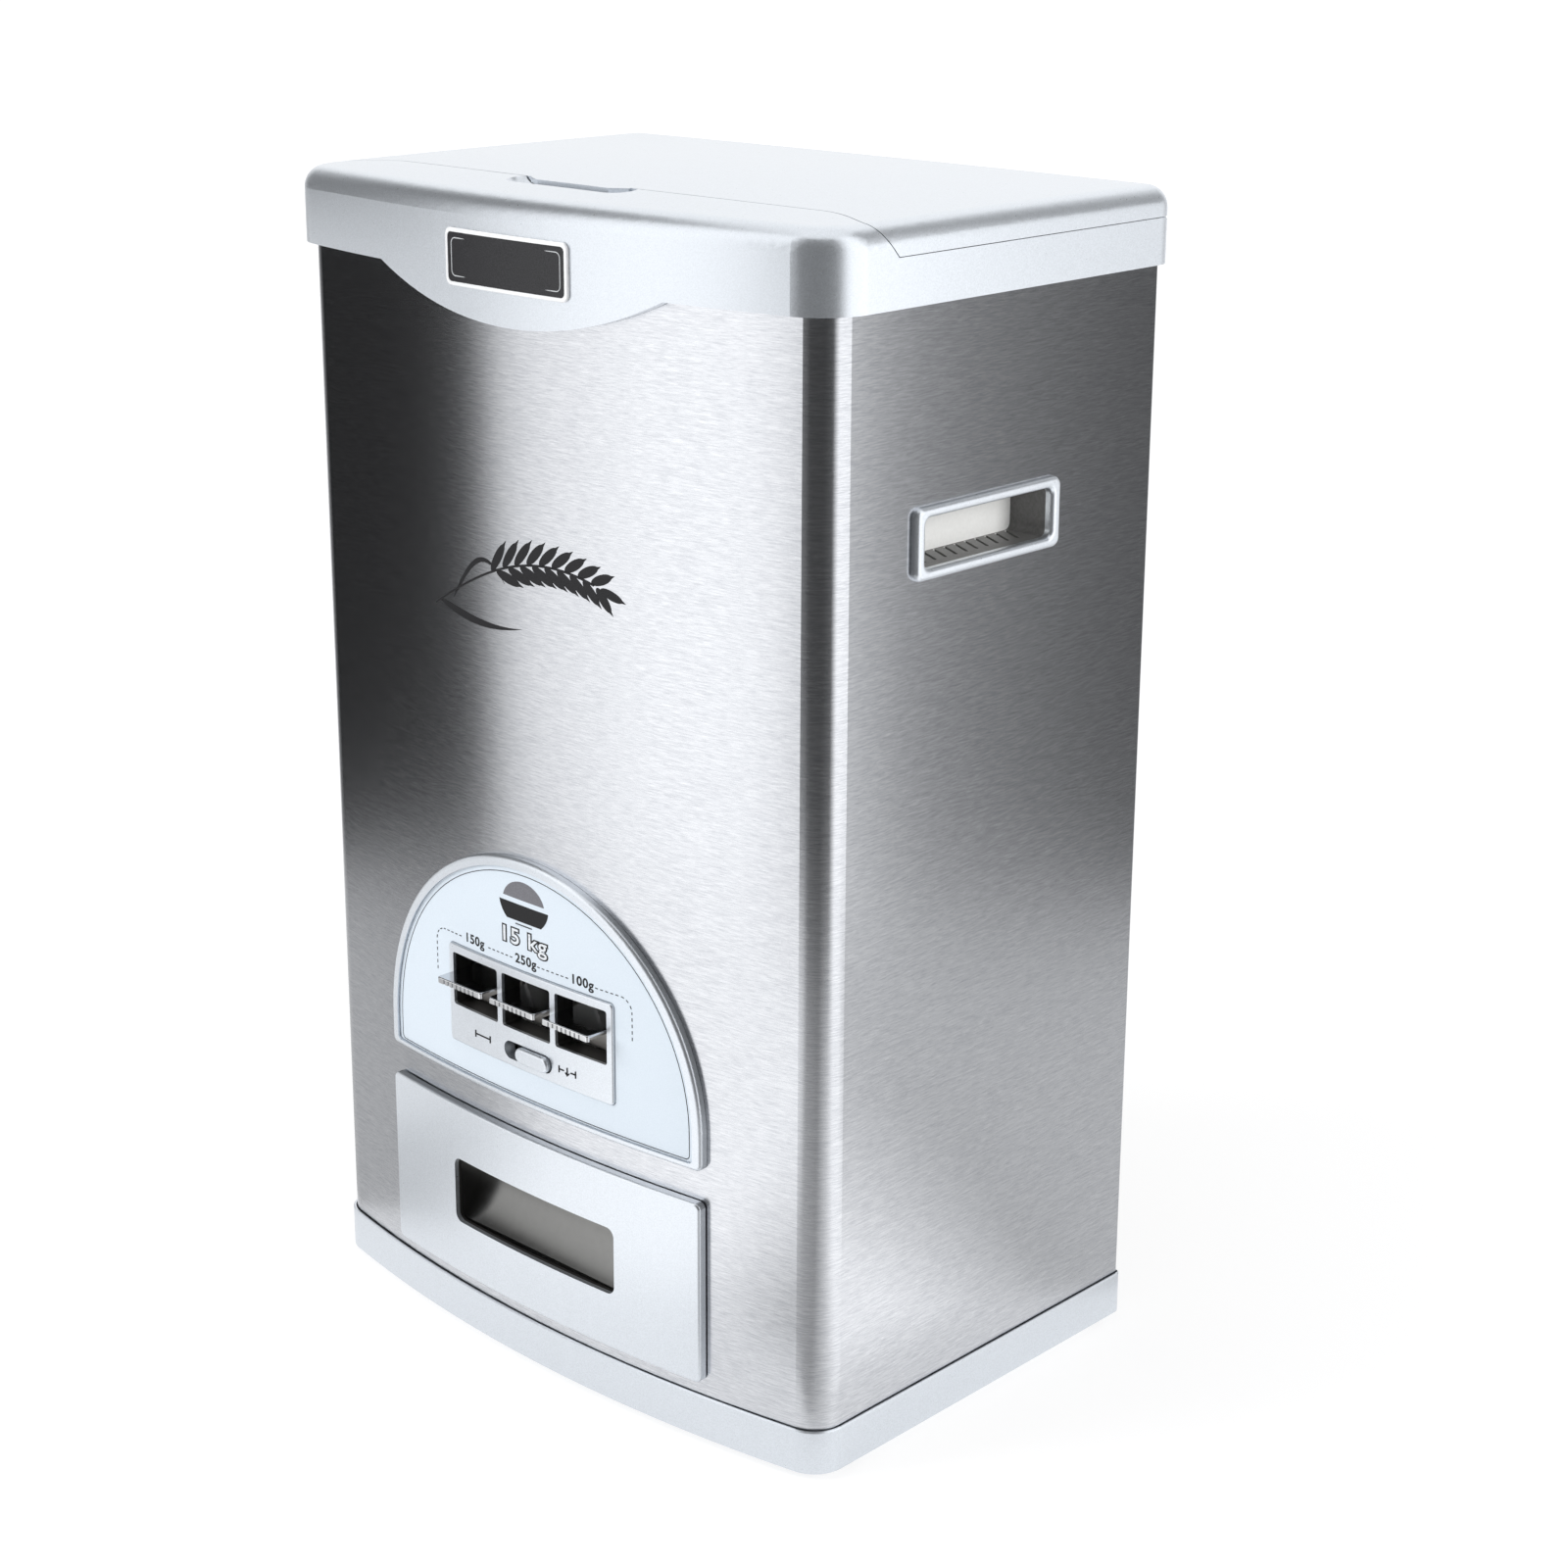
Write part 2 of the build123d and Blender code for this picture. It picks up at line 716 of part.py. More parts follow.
steel_inner_x = cabinet_half_width - sheet
with BuildPart() as handle_bezel_right:
    with BuildSketch(Plane.YZ.offset(cabinet_half_width)):
        with Locations((handle_y, handle_z)):
            RectangleRounded(handle_outer_length, handle_outer_height, handle_corner)
    extrude(amount=bezel_thickness)
    fillet(handle_bezel_right.faces().sort_by(Axis.X)[-1].edges(), bezel_round)
    with BuildSketch(Plane.YZ.offset(steel_inner_x)):
        with Locations((handle_y, handle_z)):
            RectangleRounded(
                handle_mouth_length + 2 * neck_wall, handle_mouth_height + 2 * neck_wall, handle_corner
            )
    extrude(amount=sheet)
    with BuildSketch(Plane.YZ.offset(steel_inner_x)):
        with Locations((handle_y, handle_z)):
            RectangleRounded(handle_mouth_length, handle_mouth_height, handle_corner - neck_wall)
    extrude(amount=bezel_thickness + sheet, mode=Mode.SUBTRACT)
    mouth_edges = handle_bezel_right.faces().sort_by(Axis.X)[-1].inner_wires()[0].edges()
    fillet(mouth_edges, mouth_round)
save(handle_bezel_right, "handle_bezel_right")

with BuildPart() as handle_cup_right:
    with BuildSketch(Plane.YZ.offset(steel_inner_x)):
        with Locations((handle_y, handle_z)):
            RectangleRounded(
                handle_mouth_length + 2 * cup_flange_margin,
                handle_mouth_height + 2 * cup_flange_margin,
                handle_corner + 2,
            )
    extrude(amount=-cup_flange)
    with BuildSketch(Plane.YZ.offset(steel_inner_x)):
        with Locations((handle_y, handle_z)):
            RectangleRounded(
                handle_mouth_length + 2 * cup_wall, handle_mouth_height + 2 * cup_wall, handle_corner + 1
            )
    extrude(amount=-cup_depth)
    with BuildSketch(Plane.YZ.offset(steel_inner_x)):
        with Locations((handle_y, handle_z)):
            RectangleRounded(handle_mouth_length, handle_mouth_height, handle_corner - neck_wall)
    extrude(amount=cup_wall - cup_depth, mode=Mode.SUBTRACT)
    floor_z = handle_z - handle_mouth_height / 2
    with BuildSketch(Plane.XY.offset(floor_z)):
        for index in range(slot_count):
            slot_y = handle_y + (index - (slot_count - 1) / 2) * slot_pitch
            with Locations(Location((steel_inner_x - 11.0, slot_y), -28)):
                SlotOverall(slot_length, slot_width)
    extrude(amount=-slot_depth, mode=Mode.SUBTRACT)
save(handle_cup_right, "handle_cup_right")

with BuildPart() as handle_bezel_left:
    add(mirror(handle_bezel_right.part, about=Plane.YZ))
save(handle_bezel_left, "handle_bezel_left")

with BuildPart() as handle_cup_left:
    add(mirror(handle_cup_right.part, about=Plane.YZ))
save(handle_cup_left, "handle_cup_left")

# Keys, the bays behind them and the shaft
key_pitch = 32.5
bay_pitch = 44.0
key_names = ("150", "250", "100")
bay_lengths = (48.0, 112.0, 20.0)
pivot_y = steel_front_y + 18.5
pivot_z = 168.0
shaft_radius = 2.5
shaft_half = 71.0

# Control panel
panel_back = 0.1
panel_rim_face = 3.75
panel_seat_face = 2.2
label_face = 2.5
label_gap = 0.3
panel_foot_corner = 3.0
panel_foot_rim = 2.6
skirt_inset = 0.4
skirt_wall = 2.0
skirt_depth = -4.0
hook_depth = -2.8
frame_width = 100.8
frame_height = 44.5
frame_z = 161.3
frame_face = 3.7
frame_back = -0.5
frame_hole_gap = 0.2
frame_flange_back = -2.0
frame_flange_face = 0.05
frame_flange_margin = 2.5
window_width = 29.5
window_bottom = 156.3
window_top = 179.8
window_corner = 1.2
duct_back = -6.5
duct_wall = 1.2
slide_z = 146.4
slide_slot_x = 0.75
slide_slot_width = 29.5
slide_slot_height = 8.0
panel_low = 100.0
panel_high = 240.0

panel_outline = dome(panel_radius, panel_bottom, panel_foot_corner)
rim_inner = dome(panel_radius - panel_rim_width, panel_bottom + panel_foot_rim, 2.0)
frame_outline = rectangle_at(0, frame_z, frame_width, frame_height, 2.0)
frame_hole = rectangle_at(
    0, frame_z, frame_width + 2 * frame_hole_gap, frame_height + 2 * frame_hole_gap, 2.2
)
frame_flange = rectangle_at(
    0,
    frame_z,
    frame_width + 2 * frame_flange_margin,
    frame_height + 2 * frame_flange_margin,
    3.0,
)
skirt_outline = dome(panel_cutout_radius - skirt_inset, panel_cutout_bottom + skirt_inset, 3.6)
skirt_inner = dome(
    panel_cutout_radius - skirt_inset - skirt_wall, panel_cutout_bottom + skirt_inset + skirt_wall, 1.6
)

with BuildPart() as panel_bezel:
    add(bowed_plate(panel_back, panel_rim_face, panel_outline, panel_low, panel_high))
    fillet(panel_bezel.faces().sort_by(Axis.Y)[0].edges(), 1.5)
    add(
        bowed_plate(panel_seat_face, panel_rim_face + 1, rim_inner, panel_low, panel_high),
        mode=Mode.SUBTRACT,
    )
    add(bowed_plate(skirt_depth, panel_back, skirt_outline - skirt_inner, panel_low, panel_high))
    with BuildSketch(mode=Mode.PRIVATE) as hook_profile:
        for angle in (25, 70, 110, 155):
            with Locations(
                Location(
                    (
                        (panel_cutout_radius + 0.6) * math.cos(math.radians(angle)),
                        panel_centre_z + (panel_cutout_radius + 0.6) * math.sin(math.radians(angle)),
                    ),
                    angle,
                )
            ):
                Rectangle(4.0, 12.0)
    add(bowed_plate(skirt_depth, hook_depth, hook_profile.sketch, panel_low, panel_high))
    add(bowed_plate(-30, panel_rim_face + 1, frame_hole, panel_low, panel_high), mode=Mode.SUBTRACT)
save(panel_bezel, "panel_bezel")

with BuildPart() as label_film:
    add(
        bowed_plate(
            panel_seat_face + 0.02,
            label_face,
            dome(
                panel_radius - panel_rim_width - label_gap, panel_bottom + panel_foot_rim + label_gap, 1.7
            )
            - frame_hole,
            panel_low,
            panel_high,
        )
    )
save(label_film, "label_film")

key_places = [(index - 1) * key_pitch for index in range(3)]
window_z = (window_bottom + window_top) / 2
window_height = window_top - window_bottom
with BuildSketch() as windows:
    with Locations(*[(x, window_z) for x in key_places]):
        RectangleRounded(window_width, window_height, window_corner)
duct_outline = rectangle_at(
    0,
    window_z,
    2 * key_pitch + window_width + 2 * duct_wall,
    window_height + 2 * duct_wall,
    2.0,
)
with BuildSketch() as slide_slot:
    with Locations((slide_slot_x, slide_z)):
        SlotOverall(slide_slot_width, slide_slot_height)

with BuildPart() as key_frame:
    add(bowed_plate(frame_back, frame_face, frame_outline, panel_low, panel_high))
    fillet(key_frame.faces().sort_by(Axis.Y)[0].edges(), 0.9)
    add(bowed_plate(frame_flange_back, frame_flange_face, frame_flange, panel_low, panel_high))
    add(bowed_plate(duct_back, frame_back, duct_outline, panel_low, panel_high))
    add(bowed_plate(-30, frame_face + 1, windows.sketch, panel_low, panel_high), mode=Mode.SUBTRACT)
    add(bowed_plate(-30, frame_face + 1, slide_slot.sketch, panel_low, panel_high), mode=Mode.SUBTRACT)
save(key_frame, "key_frame")

# Key caps
cap_width = 27.7
cap_thickness = 1.0
cap_bottom = 170.6
cap_rear_y = pivot_y - 8.25
cap_front_y = rear_y - lip_reach
lip_drop = 1.6
lip_thickness = 1.3
rib_count = 9
cap_corner = 2.5

for index, key_name in enumerate(key_names):
    x = key_places[index]
    with BuildPart() as key_cap:
        with BuildSketch(Plane.XY.offset(cap_bottom)):
            with Locations((x, (cap_front_y + cap_rear_y) / 2)):
                Rectangle(cap_width, cap_rear_y - cap_front_y)
        extrude(amount=cap_thickness)
        with BuildSketch(Plane.XY.offset(cap_bottom)):
            with Locations((x, cap_front_y + lip_thickness / 2)):
                Rectangle(cap_width, lip_thickness)
        extrude(amount=-lip_drop)
        fillet(key_cap.edges().filter_by(Axis.Z).sort_by(Axis.Y)[:2], cap_corner / 2)
        fillet(key_cap.edges().filter_by(Axis.X).group_by(Axis.Z)[-1].sort_by(Axis.Y)[0], 0.5)
        with BuildSketch(Plane.XZ.offset(-cap_front_y - 0.4)):
            for rib in range(rib_count - 1):
                rib_x = x + (rib - (rib_count - 2) / 2) * (cap_width - 4) / rib_count
                with Locations((rib_x, cap_bottom - lip_drop / 2)):
                    Rectangle(1.2, lip_drop + 1)
        extrude(amount=3, mode=Mode.SUBTRACT)
    save(key_cap, f"key_cap_{key_name}")

# Rockers: hub, arm under the cap, front shield, two cheeks and two arc gates
hub_radius = 4.5
hub_cheek_radius = 7.0
arm_thickness = 2.0
arm_front_y = cap_front_y + 2.75
arm_half = 12.0
shield_inner = 14.0
shield_outer = 15.5
shield_low_angle = -65.0
shield_high_angle = 8.0
gate_inner = 44.0
gate_outer = 45.5
cheek_outer_half = 20.6
cheek_thickness = 1.5
upper_gate = (26.0, 48.0)
lower_gate = (-70.0, -48.0)


def ring_sector(inner, outer, start, end):
    """Sector of a ring about the local origin, angles in degrees."""
    middle = (start + end) / 2

    def polar(radius, angle):
        return (
            radius * math.cos(math.radians(angle)),
            radius * math.sin(math.radians(angle)),
        )

    with BuildSketch(mode=Mode.PRIVATE) as sector:
        with BuildLine():
            ThreePointArc(polar(outer, start), polar(outer, middle), polar(outer, end))
            Line(polar(outer, end), polar(inner, end))
            ThreePointArc(polar(inner, end), polar(inner, middle), polar(inner, start))
            Line(polar(inner, start), polar(outer, start))
        make_face()
    return sector.sketch


def pivot_plane(x):
    """Side view plane through the key shaft, with Y to the right and Z up."""
    return Plane(origin=(x, pivot_y, pivot_z), x_dir=(0, 1, 0), z_dir=(1, 0, 0))


bay_places = [(index - 1) * bay_pitch for index in range(3)]
for index, key_name in enumerate(key_names):
    bay_x = bay_places[index]
    key_x = key_places[index]
    low_x = bay_x - cheek_outer_half
    high_x = bay_x + cheek_outer_half
    shield_low = max(key_x - arm_half, low_x)
    shield_high = min(key_x + arm_half, high_x)
    with BuildPart() as rocker:
        with BuildSketch(pivot_plane(low_x)):
            Circle(hub_radius)
        extrude(amount=high_x - low_x)
        for cheek_x in (low_x, high_x - cheek_thickness):
            with BuildSketch(pivot_plane(cheek_x)):
                Circle(hub_cheek_radius)
                add(ring_sector(1.0, gate_outer, *upper_gate))
                add(ring_sector(1.0, gate_outer, *lower_gate))
            extrude(amount=cheek_thickness)
        with BuildSketch(pivot_plane(low_x)):
            add(ring_sector(gate_inner, gate_outer, *upper_gate))
            add(ring_sector(gate_inner, gate_outer, *lower_gate))
        extrude(amount=high_x - low_x)
        with BuildSketch(pivot_plane(shield_low)):
            add(ring_sector(shield_inner, shield_outer, 180 - shield_high_angle, 180 - shield_low_angle))
        extrude(amount=shield_high - shield_low)
        with BuildSketch(Plane.XY.offset(cap_bottom)):
            with Locations(((shield_low + shield_high) / 2, (arm_front_y + pivot_y) / 2)):
                Rectangle(shield_high - shield_low, pivot_y - arm_front_y)
        extrude(amount=-arm_thickness)
        with BuildSketch(pivot_plane(low_x)):
            Circle(shaft_radius + running_gap)
        extrude(amount=high_x - low_x, mode=Mode.SUBTRACT)
    save(rocker, f"key_rocker_{key_name}")

with BuildPart() as key_shaft:
    with BuildSketch(pivot_plane(-shaft_half)):
        Circle(shaft_radius)
    extrude(amount=2 * shaft_half)
    chamfer(key_shaft.edges().filter_by(GeomType.CIRCLE), 0.4)
save(key_shaft, "key_shaft")

# Measuring chambers
chamber_outer_half = 18.4
chamber_wall = 1.5
chamber_outer_radius = 43.4
chamber_front = 8.0
passage_half = 18.0
rear_box_front = 46.8
rear_box_top = 57.0
rear_box_bottom = 19.5
floor_slope = 0.36
port_angles = (49.8, 68.0)
lug_radius = 7.0
partition = 2.0
partition_x = bay_pitch / 2
side_wall_x = 66.4
wall_front = -3.0
throat_front = 13.0
housing_top = 113.5
partition_bottom = -46.0
block_screw_places = (-52.0, 52.0)
block_screw_shank = 1.5
block_screw_head = 3.0
block_screw_head_height = 1.6
block_tab_width = 14.0
block_tab_depth = 11.0
block_tab_thickness = 3.0
block_screw_y = pivot_y + rear_box_front + chamber_wall + block_tab_depth / 2
rail_screw_places = (-75.0, 45.0)
rail_screw_z = 65.7
rail_screw_shank = 1.2
rail_screw_head = 2.6
rail_screw_head_height = 1.4
rail_screw_length = 2.6


def half_disc(radius, front):
    """Part of a disc behind a vertical line."""
    with BuildSketch(mode=Mode.PRIVATE) as shape:
        Circle(radius)
        with Locations((front - radius, 0)):
            Rectangle(2 * radius, 4 * radius, mode=Mode.SUBTRACT)
    return shape.sketch


def rear_box(length, wall):
    """Side view of the deep part of a chamber, with a sloping floor."""
    front = rear_box_front + wall
    end = rear_box_front + length - wall
    top = rear_box_top - wall
    bottom = wall - rear_box_bottom
    with BuildSketch(mode=Mode.PRIVATE) as shape:
        with BuildLine():
            Polyline(
                (front, bottom),
                (front, top),
                (end, top),
                (end, bottom + floor_slope * (end - front)),
                close=True,
            )
        make_face()
    return shape.sketch


with BuildPart() as dose_block:
    for index, bay_x in enumerate(bay_places):
        length = bay_lengths[index]
        with BuildSketch(pivot_plane(bay_x - chamber_outer_half)):
            add(half_disc(chamber_outer_radius, chamber_front))
            with Locations(((30 + rear_box_front + 1) / 2, 0)):
                Rectangle(rear_box_front + 1 - 30, 2 * passage_half)
            add(rear_box(length, 0))
        extrude(amount=2 * chamber_outer_half)
        with BuildSketch(pivot_plane(bay_x - chamber_outer_half + chamber_wall)):
            add(half_disc(chamber_outer_radius - chamber_wall, chamber_front + chamber_wall))
            with Locations(((30 + rear_box_front + 3) / 2, 0)):
                Rectangle(rear_box_front + 3 - 30, 2 * (passage_half - chamber_wall))
            add(rear_box(length, chamber_wall))
            add(ring_sector(chamber_outer_radius - 3, chamber_outer_radius + 2, *port_angles))
            add(
                ring_sector(
                    chamber_outer_radius - 3,
                    chamber_outer_radius + 2,
                    -port_angles[1],
                    -port_angles[0],
                )
            )
        extrude(amount=2 * (chamber_outer_half - chamber_wall), mode=Mode.SUBTRACT)
    # Back plate across all chambers, standing on the drawer housing
    with BuildSketch(pivot_plane(-side_wall_x - partition)):
        with BuildLine():
            Polyline(
                (rear_box_front, housing_top - pivot_z),
                (rear_box_front + chamber_wall, housing_top - pivot_z),
                (rear_box_front + chamber_wall, rear_box_top),
                (rear_box_front, rear_box_top),
                close=True,
            )
        make_face()
    extrude(amount=2 * (side_wall_x + partition))
    for bay_x in bay_places:
        with BuildSketch(pivot_plane(bay_x - chamber_outer_half + chamber_wall)):
            with Locations((rear_box_front, 0)):
                Rectangle(8, 2 * (passage_half - chamber_wall))
        extrude(amount=2 * (chamber_outer_half - chamber_wall), mode=Mode.SUBTRACT)
    # Partitions between the bays and side walls, all carrying the shaft
    for x, bottom in (
        (-side_wall_x - partition, housing_top - pivot_z),
        (-partition_x - partition / 2, partition_bottom),
        (partition_x - partition / 2, partition_bottom),
        (side_wall_x, housing_top - pivot_z),
    ):
        with BuildSketch(pivot_plane(x)):
            Circle(lug_radius)
            with BuildLine():
                Polyline(
                    (wall_front, -lug_radius),
                    (wall_front, bottom),
                    (rear_box_front + 1, bottom),
                    (rear_box_front + 1, rear_box_top),
                    (throat_front, rear_box_top),
                    (wall_front, lug_radius),
                    close=True,
                )
            make_face()
            Circle(shaft_radius + screw_gap, mode=Mode.SUBTRACT)
        extrude(amount=partition)
    # Feet for the screws behind the back plate
    for x in block_screw_places:
        with BuildSketch(Plane.XY.offset(housing_top)):
            with Locations((x, block_screw_y)):
                Rectangle(block_tab_width, block_tab_depth)
                Circle(block_screw_shank + screw_gap, mode=Mode.SUBTRACT)
        extrude(amount=block_tab_thickness)
save(dose_block, "dose_block")

# Grain guide between the hopper and the chambers
guide_front = 13.5
guide_rear = 31.5
guide_wall = 2.0
guide_clear_radius = 46.3
guide_half = 65.0
flange_front = 9.0
flange_rear = 62.0
flange_thickness = 4.0
flange_half = 67.0

with BuildPart() as throat_block:
    with BuildSketch(pivot_plane(-guide_half)):
        with Locations(((guide_front + guide_rear) / 2, rear_box_top / 2)):
            Rectangle(guide_rear - guide_front, rear_box_top)
        Circle(guide_clear_radius, mode=Mode.SUBTRACT)
    extrude(amount=2 * guide_half)
    # Slits over the partitions
    for x in (-partition_x, partition_x):
        with BuildSketch(pivot_plane(x - partition / 2 - fit_gap)):
            with Locations(((guide_front + guide_rear) / 2, rear_box_top / 2)):
                Rectangle(guide_rear - guide_front + 2, rear_box_top)
        extrude(amount=partition + 2 * fit_gap, mode=Mode.SUBTRACT)
    with BuildSketch(pivot_plane(-flange_half)):
        with Locations(((flange_front + flange_rear) / 2, rear_box_top + flange_thickness / 2)):
            Rectangle(flange_rear - flange_front, flange_thickness)
    extrude(amount=2 * flange_half)
    for bay_x in bay_places:
        with BuildSketch(pivot_plane(bay_x - chamber_outer_half + chamber_wall)):
            with Locations(((guide_front + guide_rear) / 2, rear_box_top / 2 + flange_thickness)):
                Rectangle(guide_rear - guide_front - 2 * guide_wall, rear_box_top + 2 * flange_thickness)
        extrude(amount=2 * (chamber_outer_half - chamber_wall), mode=Mode.SUBTRACT)
save(throat_block, "throat_block")

# Hopper
hopper_offset = -2.8
hopper_wall = 2.0
hopper_top = deck_underside - 0.1
hopper_throat_half = 63.0
hopper_throat_front = pivot_y + 11.25
hopper_throat_rear = pivot_y + 34.25
hopper_seat = pivot_z + rear_box_top + flange_thickness
hopper_side_break = 277.5
hopper_front_break = 262.0
hopper_rear_break = 313.5
hopper_funnel_bottom = 236.0
hopper_rear_y = rear_y - 3.2
recess_x = steel_inner_x - cup_depth - cup_wall - 1.95
recess_low_y = handle_y - 47.5
recess_high_y = handle_y + 47.5
recess_low_z = handle_z - 25.0
recess_high_z = handle_z + 25.0


def hopper_body(wall):
    """Bin with sloping floor that ends in the throat, moved inward by the wall."""
    outer_half = cabinet_half_width + hopper_offset
    floor_drop = wall if wall == 0 else 5.0
    with BuildPart(mode=Mode.PRIVATE) as bin_body:
        with BuildSketch(Plane.XY.offset(hopper_seat - floor_drop)):
            add(plan(hopper_offset - wall, cabinet_corner - wall, hopper_rear_y - wall, 6.0))
        extrude(amount=hopper_top - hopper_seat + 2 * floor_drop)
        with BuildSketch(Plane.YZ.offset(-200)):
            with BuildLine():
                Polyline(
                    (bow_y(0, hopper_offset - wall), hopper_top + 10),
                    (bow_y(0, hopper_offset - wall), hopper_front_break),
                    (hopper_throat_front + wall, 243.0),
                    (hopper_throat_front + wall, hopper_seat - floor_drop),
                    (hopper_throat_rear - wall, hopper_seat - floor_drop),
                    (hopper_throat_rear - wall, hopper_funnel_bottom + 1.1 * wall),
                    (hopper_rear_y - wall, hopper_rear_break + 1.1 * wall),
                    (hopper_rear_y - wall, hopper_top + 10),
                    close=True,
                )
            make_face()
        extrude(amount=400, mode=Mode.INTERSECT)
        with BuildSketch(Plane.XZ.offset(-200)):
            with BuildLine():
                Polyline(
                    (-outer_half + wall, hopper_top + 10),
                    (-outer_half + wall, hopper_side_break + 0.6 * wall),
                    (-hopper_throat_half + wall, hopper_funnel_bottom + 0.6 * wall),
                    (-hopper_throat_half + wall, hopper_seat - floor_drop),
                    (hopper_throat_half - wall, hopper_seat - floor_drop),
                    (hopper_throat_half - wall, hopper_funnel_bottom + 0.6 * wall),
                    (outer_half - wall, hopper_side_break + 0.6 * wall),
                    (outer_half - wall, hopper_top + 10),
                    close=True,
                )
            make_face()
        extrude(amount=400, mode=Mode.INTERSECT)
        for side in (-1, 1):
            with BuildSketch(Plane.YZ.offset(side * (recess_x - wall))):
                with Locations(((recess_low_y + recess_high_y) / 2, (recess_low_z + recess_high_z) / 2)):
                    Rectangle(
                        recess_high_y - recess_low_y + 2 * wall, recess_high_z - recess_low_z + 2 * wall
                    )
            extrude(amount=side * 60, mode=Mode.SUBTRACT)
    return bin_body.part


with BuildPart() as hopper:
    add(hopper_body(0))
    add(hopper_body(hopper_wall), mode=Mode.SUBTRACT)
save(hopper, "hopper")

# Torsion springs round the hubs of the rockers
spring_coil_radius = 5.6
spring_wire = 0.5
spring_pitch = 1.3
spring_turns = 4
spring_shift = 15.5
spring_sides = (-1, -1, 1)

with BuildPart() as key_springs:
    for bay_x, side in zip(bay_places, spring_sides):
        start_x = bay_x + side * spring_shift - spring_turns * spring_pitch / 2
        with BuildLine(mode=Mode.PRIVATE) as coil:
            Helix(
                spring_pitch,
                spring_pitch * spring_turns,
                spring_coil_radius,
                center=(start_x, pivot_y, pivot_z),
                direction=(1, 0, 0),
            )
        start = coil.line @ 0
        with BuildSketch(Plane(origin=start, z_dir=coil.line % 0)) as wire:
            Circle(spring_wire)
        sweep(path=coil.line, is_frenet=True)
save(key_springs, "key_springs")

# Open and close slide
plate_bottom = 119.2
plate_thickness = 1.5
plate_half = 58.0
plate_front = pivot_y - 13.75
plate_rear = pivot_y + 35.75
grille_slot_width = 7.5
grille_slot_depth = 24.0
grille_slot_offset = 8.5
grille_slot_y = pivot_y + 22.25
web_half = 12.0
web_thickness = 1.5
web_top = 150.4
knob_width = 20.0
knob_height = 7.0
knob_face = 6.0
knob_rest_x = 4.75
knob_edge = 1.2

slot_places = [
    (bay_x + side * grille_slot_offset, grille_slot_y) for bay_x in bay_places for side in (-1, 1)
]
with BuildPart() as shutter_plate:
    with BuildSketch(Plane.XY.offset(plate_bottom)):
        with Locations((0, (plate_front + plate_rear) / 2)):
            RectangleRounded(2 * plate_half, plate_rear - plate_front, 3.0)
        with Locations(*slot_places):
            RectangleRounded(grille_slot_width, grille_slot_depth, 1.5, mode=Mode.SUBTRACT)
    extrude(amount=plate_thickness)
    with BuildSketch(Plane.XZ.offset(-plate_front)):
        with Locations((knob_rest_x, (plate_bottom + web_top) / 2)):
            Rectangle(2 * web_half, web_top - plate_bottom)
    extrude(amount=-web_thickness)
save(shutter_plate, "shutter_plate")

with BuildPart() as slide_knob:
    with BuildSketch(Plane.XZ.offset(-plate_front)):
        with Locations((knob_rest_x, slide_z)):
            SlotOverall(knob_width, knob_height)
    extrude(amount=plate_front - bow_y(0, knob_face))
    fillet(slide_knob.faces().sort_by(Axis.Y)[0].edges(), knob_edge)
save(slide_knob, "slide_knob")

# Fixed grille under the slide
grille_bottom = housing_top
grille_thickness = 5.1
grille_half = 65.8
grille_front = pivot_y - 0.25
grille_rear = pivot_y + 45.75
housing_opening_half = 60.0
housing_opening_front = pivot_y + 5.75
housing_opening_rear = pivot_y + 39.75

with BuildPart() as outlet_grille:
    with BuildSketch(Plane.XY.offset(grille_bottom)):
        with Locations((0, (grille_front + grille_rear) / 2)):
            Rectangle(2 * grille_half, grille_rear - grille_front)
        with Locations(*slot_places):
            RectangleRounded(grille_slot_width, grille_slot_depth, 1.5, mode=Mode.SUBTRACT)
    extrude(amount=grille_thickness)
save(outlet_grille, "outlet_grille")

# Housing round the drawer
housing_half = 95.5
housing_wall = 1.5
housing_front = steel_front_y + 10.25
housing_rear = steel_front_y + 168.25
housing_fold = 8.0
fold_middle_x = housing_half + housing_fold / 2 - 1

with BuildPart() as drawer_housing:
    with BuildSketch(Plane.XY.offset(base_floor_top)):
        with Locations((0, (housing_front + housing_rear) / 2)):
            Rectangle(2 * housing_half, housing_rear - housing_front)
    extrude(amount=housing_top - base_floor_top)
    with BuildSketch(Plane.XY.offset(base_floor_top)):
        with Locations((0, (housing_front - 5 + housing_rear - housing_wall) / 2)):
            Rectangle(2 * (housing_half - housing_wall), housing_rear - housing_wall - housing_front + 5)
    extrude(amount=housing_top - housing_wall - base_floor_top, mode=Mode.SUBTRACT)
    # Folded feet on the base floor
    with BuildSketch(Plane.XY.offset(base_floor_top)):
        for side in (-1, 1):
            with Locations((side * fold_middle_x, (housing_front + housing_rear) / 2)):
                Rectangle(housing_fold, housing_rear - housing_front)
    extrude(amount=housing_wall)
    with BuildSketch(Plane.XY.offset(housing_top)):
        with Locations((0, (housing_opening_front + housing_opening_rear) / 2)):
            Rectangle(2 * housing_opening_half, housing_opening_rear - housing_opening_front)
        with Locations(*[(x, block_screw_y) for x in block_screw_places]):
            Circle(block_screw_shank + screw_gap)
    extrude(amount=-2 * housing_wall, mode=Mode.SUBTRACT)
    with BuildSketch(Plane.YZ.offset(-housing_half - 1)):
        with Locations(*[(y, rail_screw_z) for y in rail_screw_places]):
            Circle(rail_screw_shank + screw_gap)
    extrude(amount=2 * housing_half + 2, mode=Mode.SUBTRACT)
save(drawer_housing, "drawer_housing")

with BuildPart() as block_screws:
    with Locations(*[(x, block_screw_y, housing_top + block_tab_thickness) for x in block_screw_places]):
        add(cross_screw(block_screw_head, block_screw_head_height, block_screw_shank, 6.0))
save(block_screws, "block_screws")

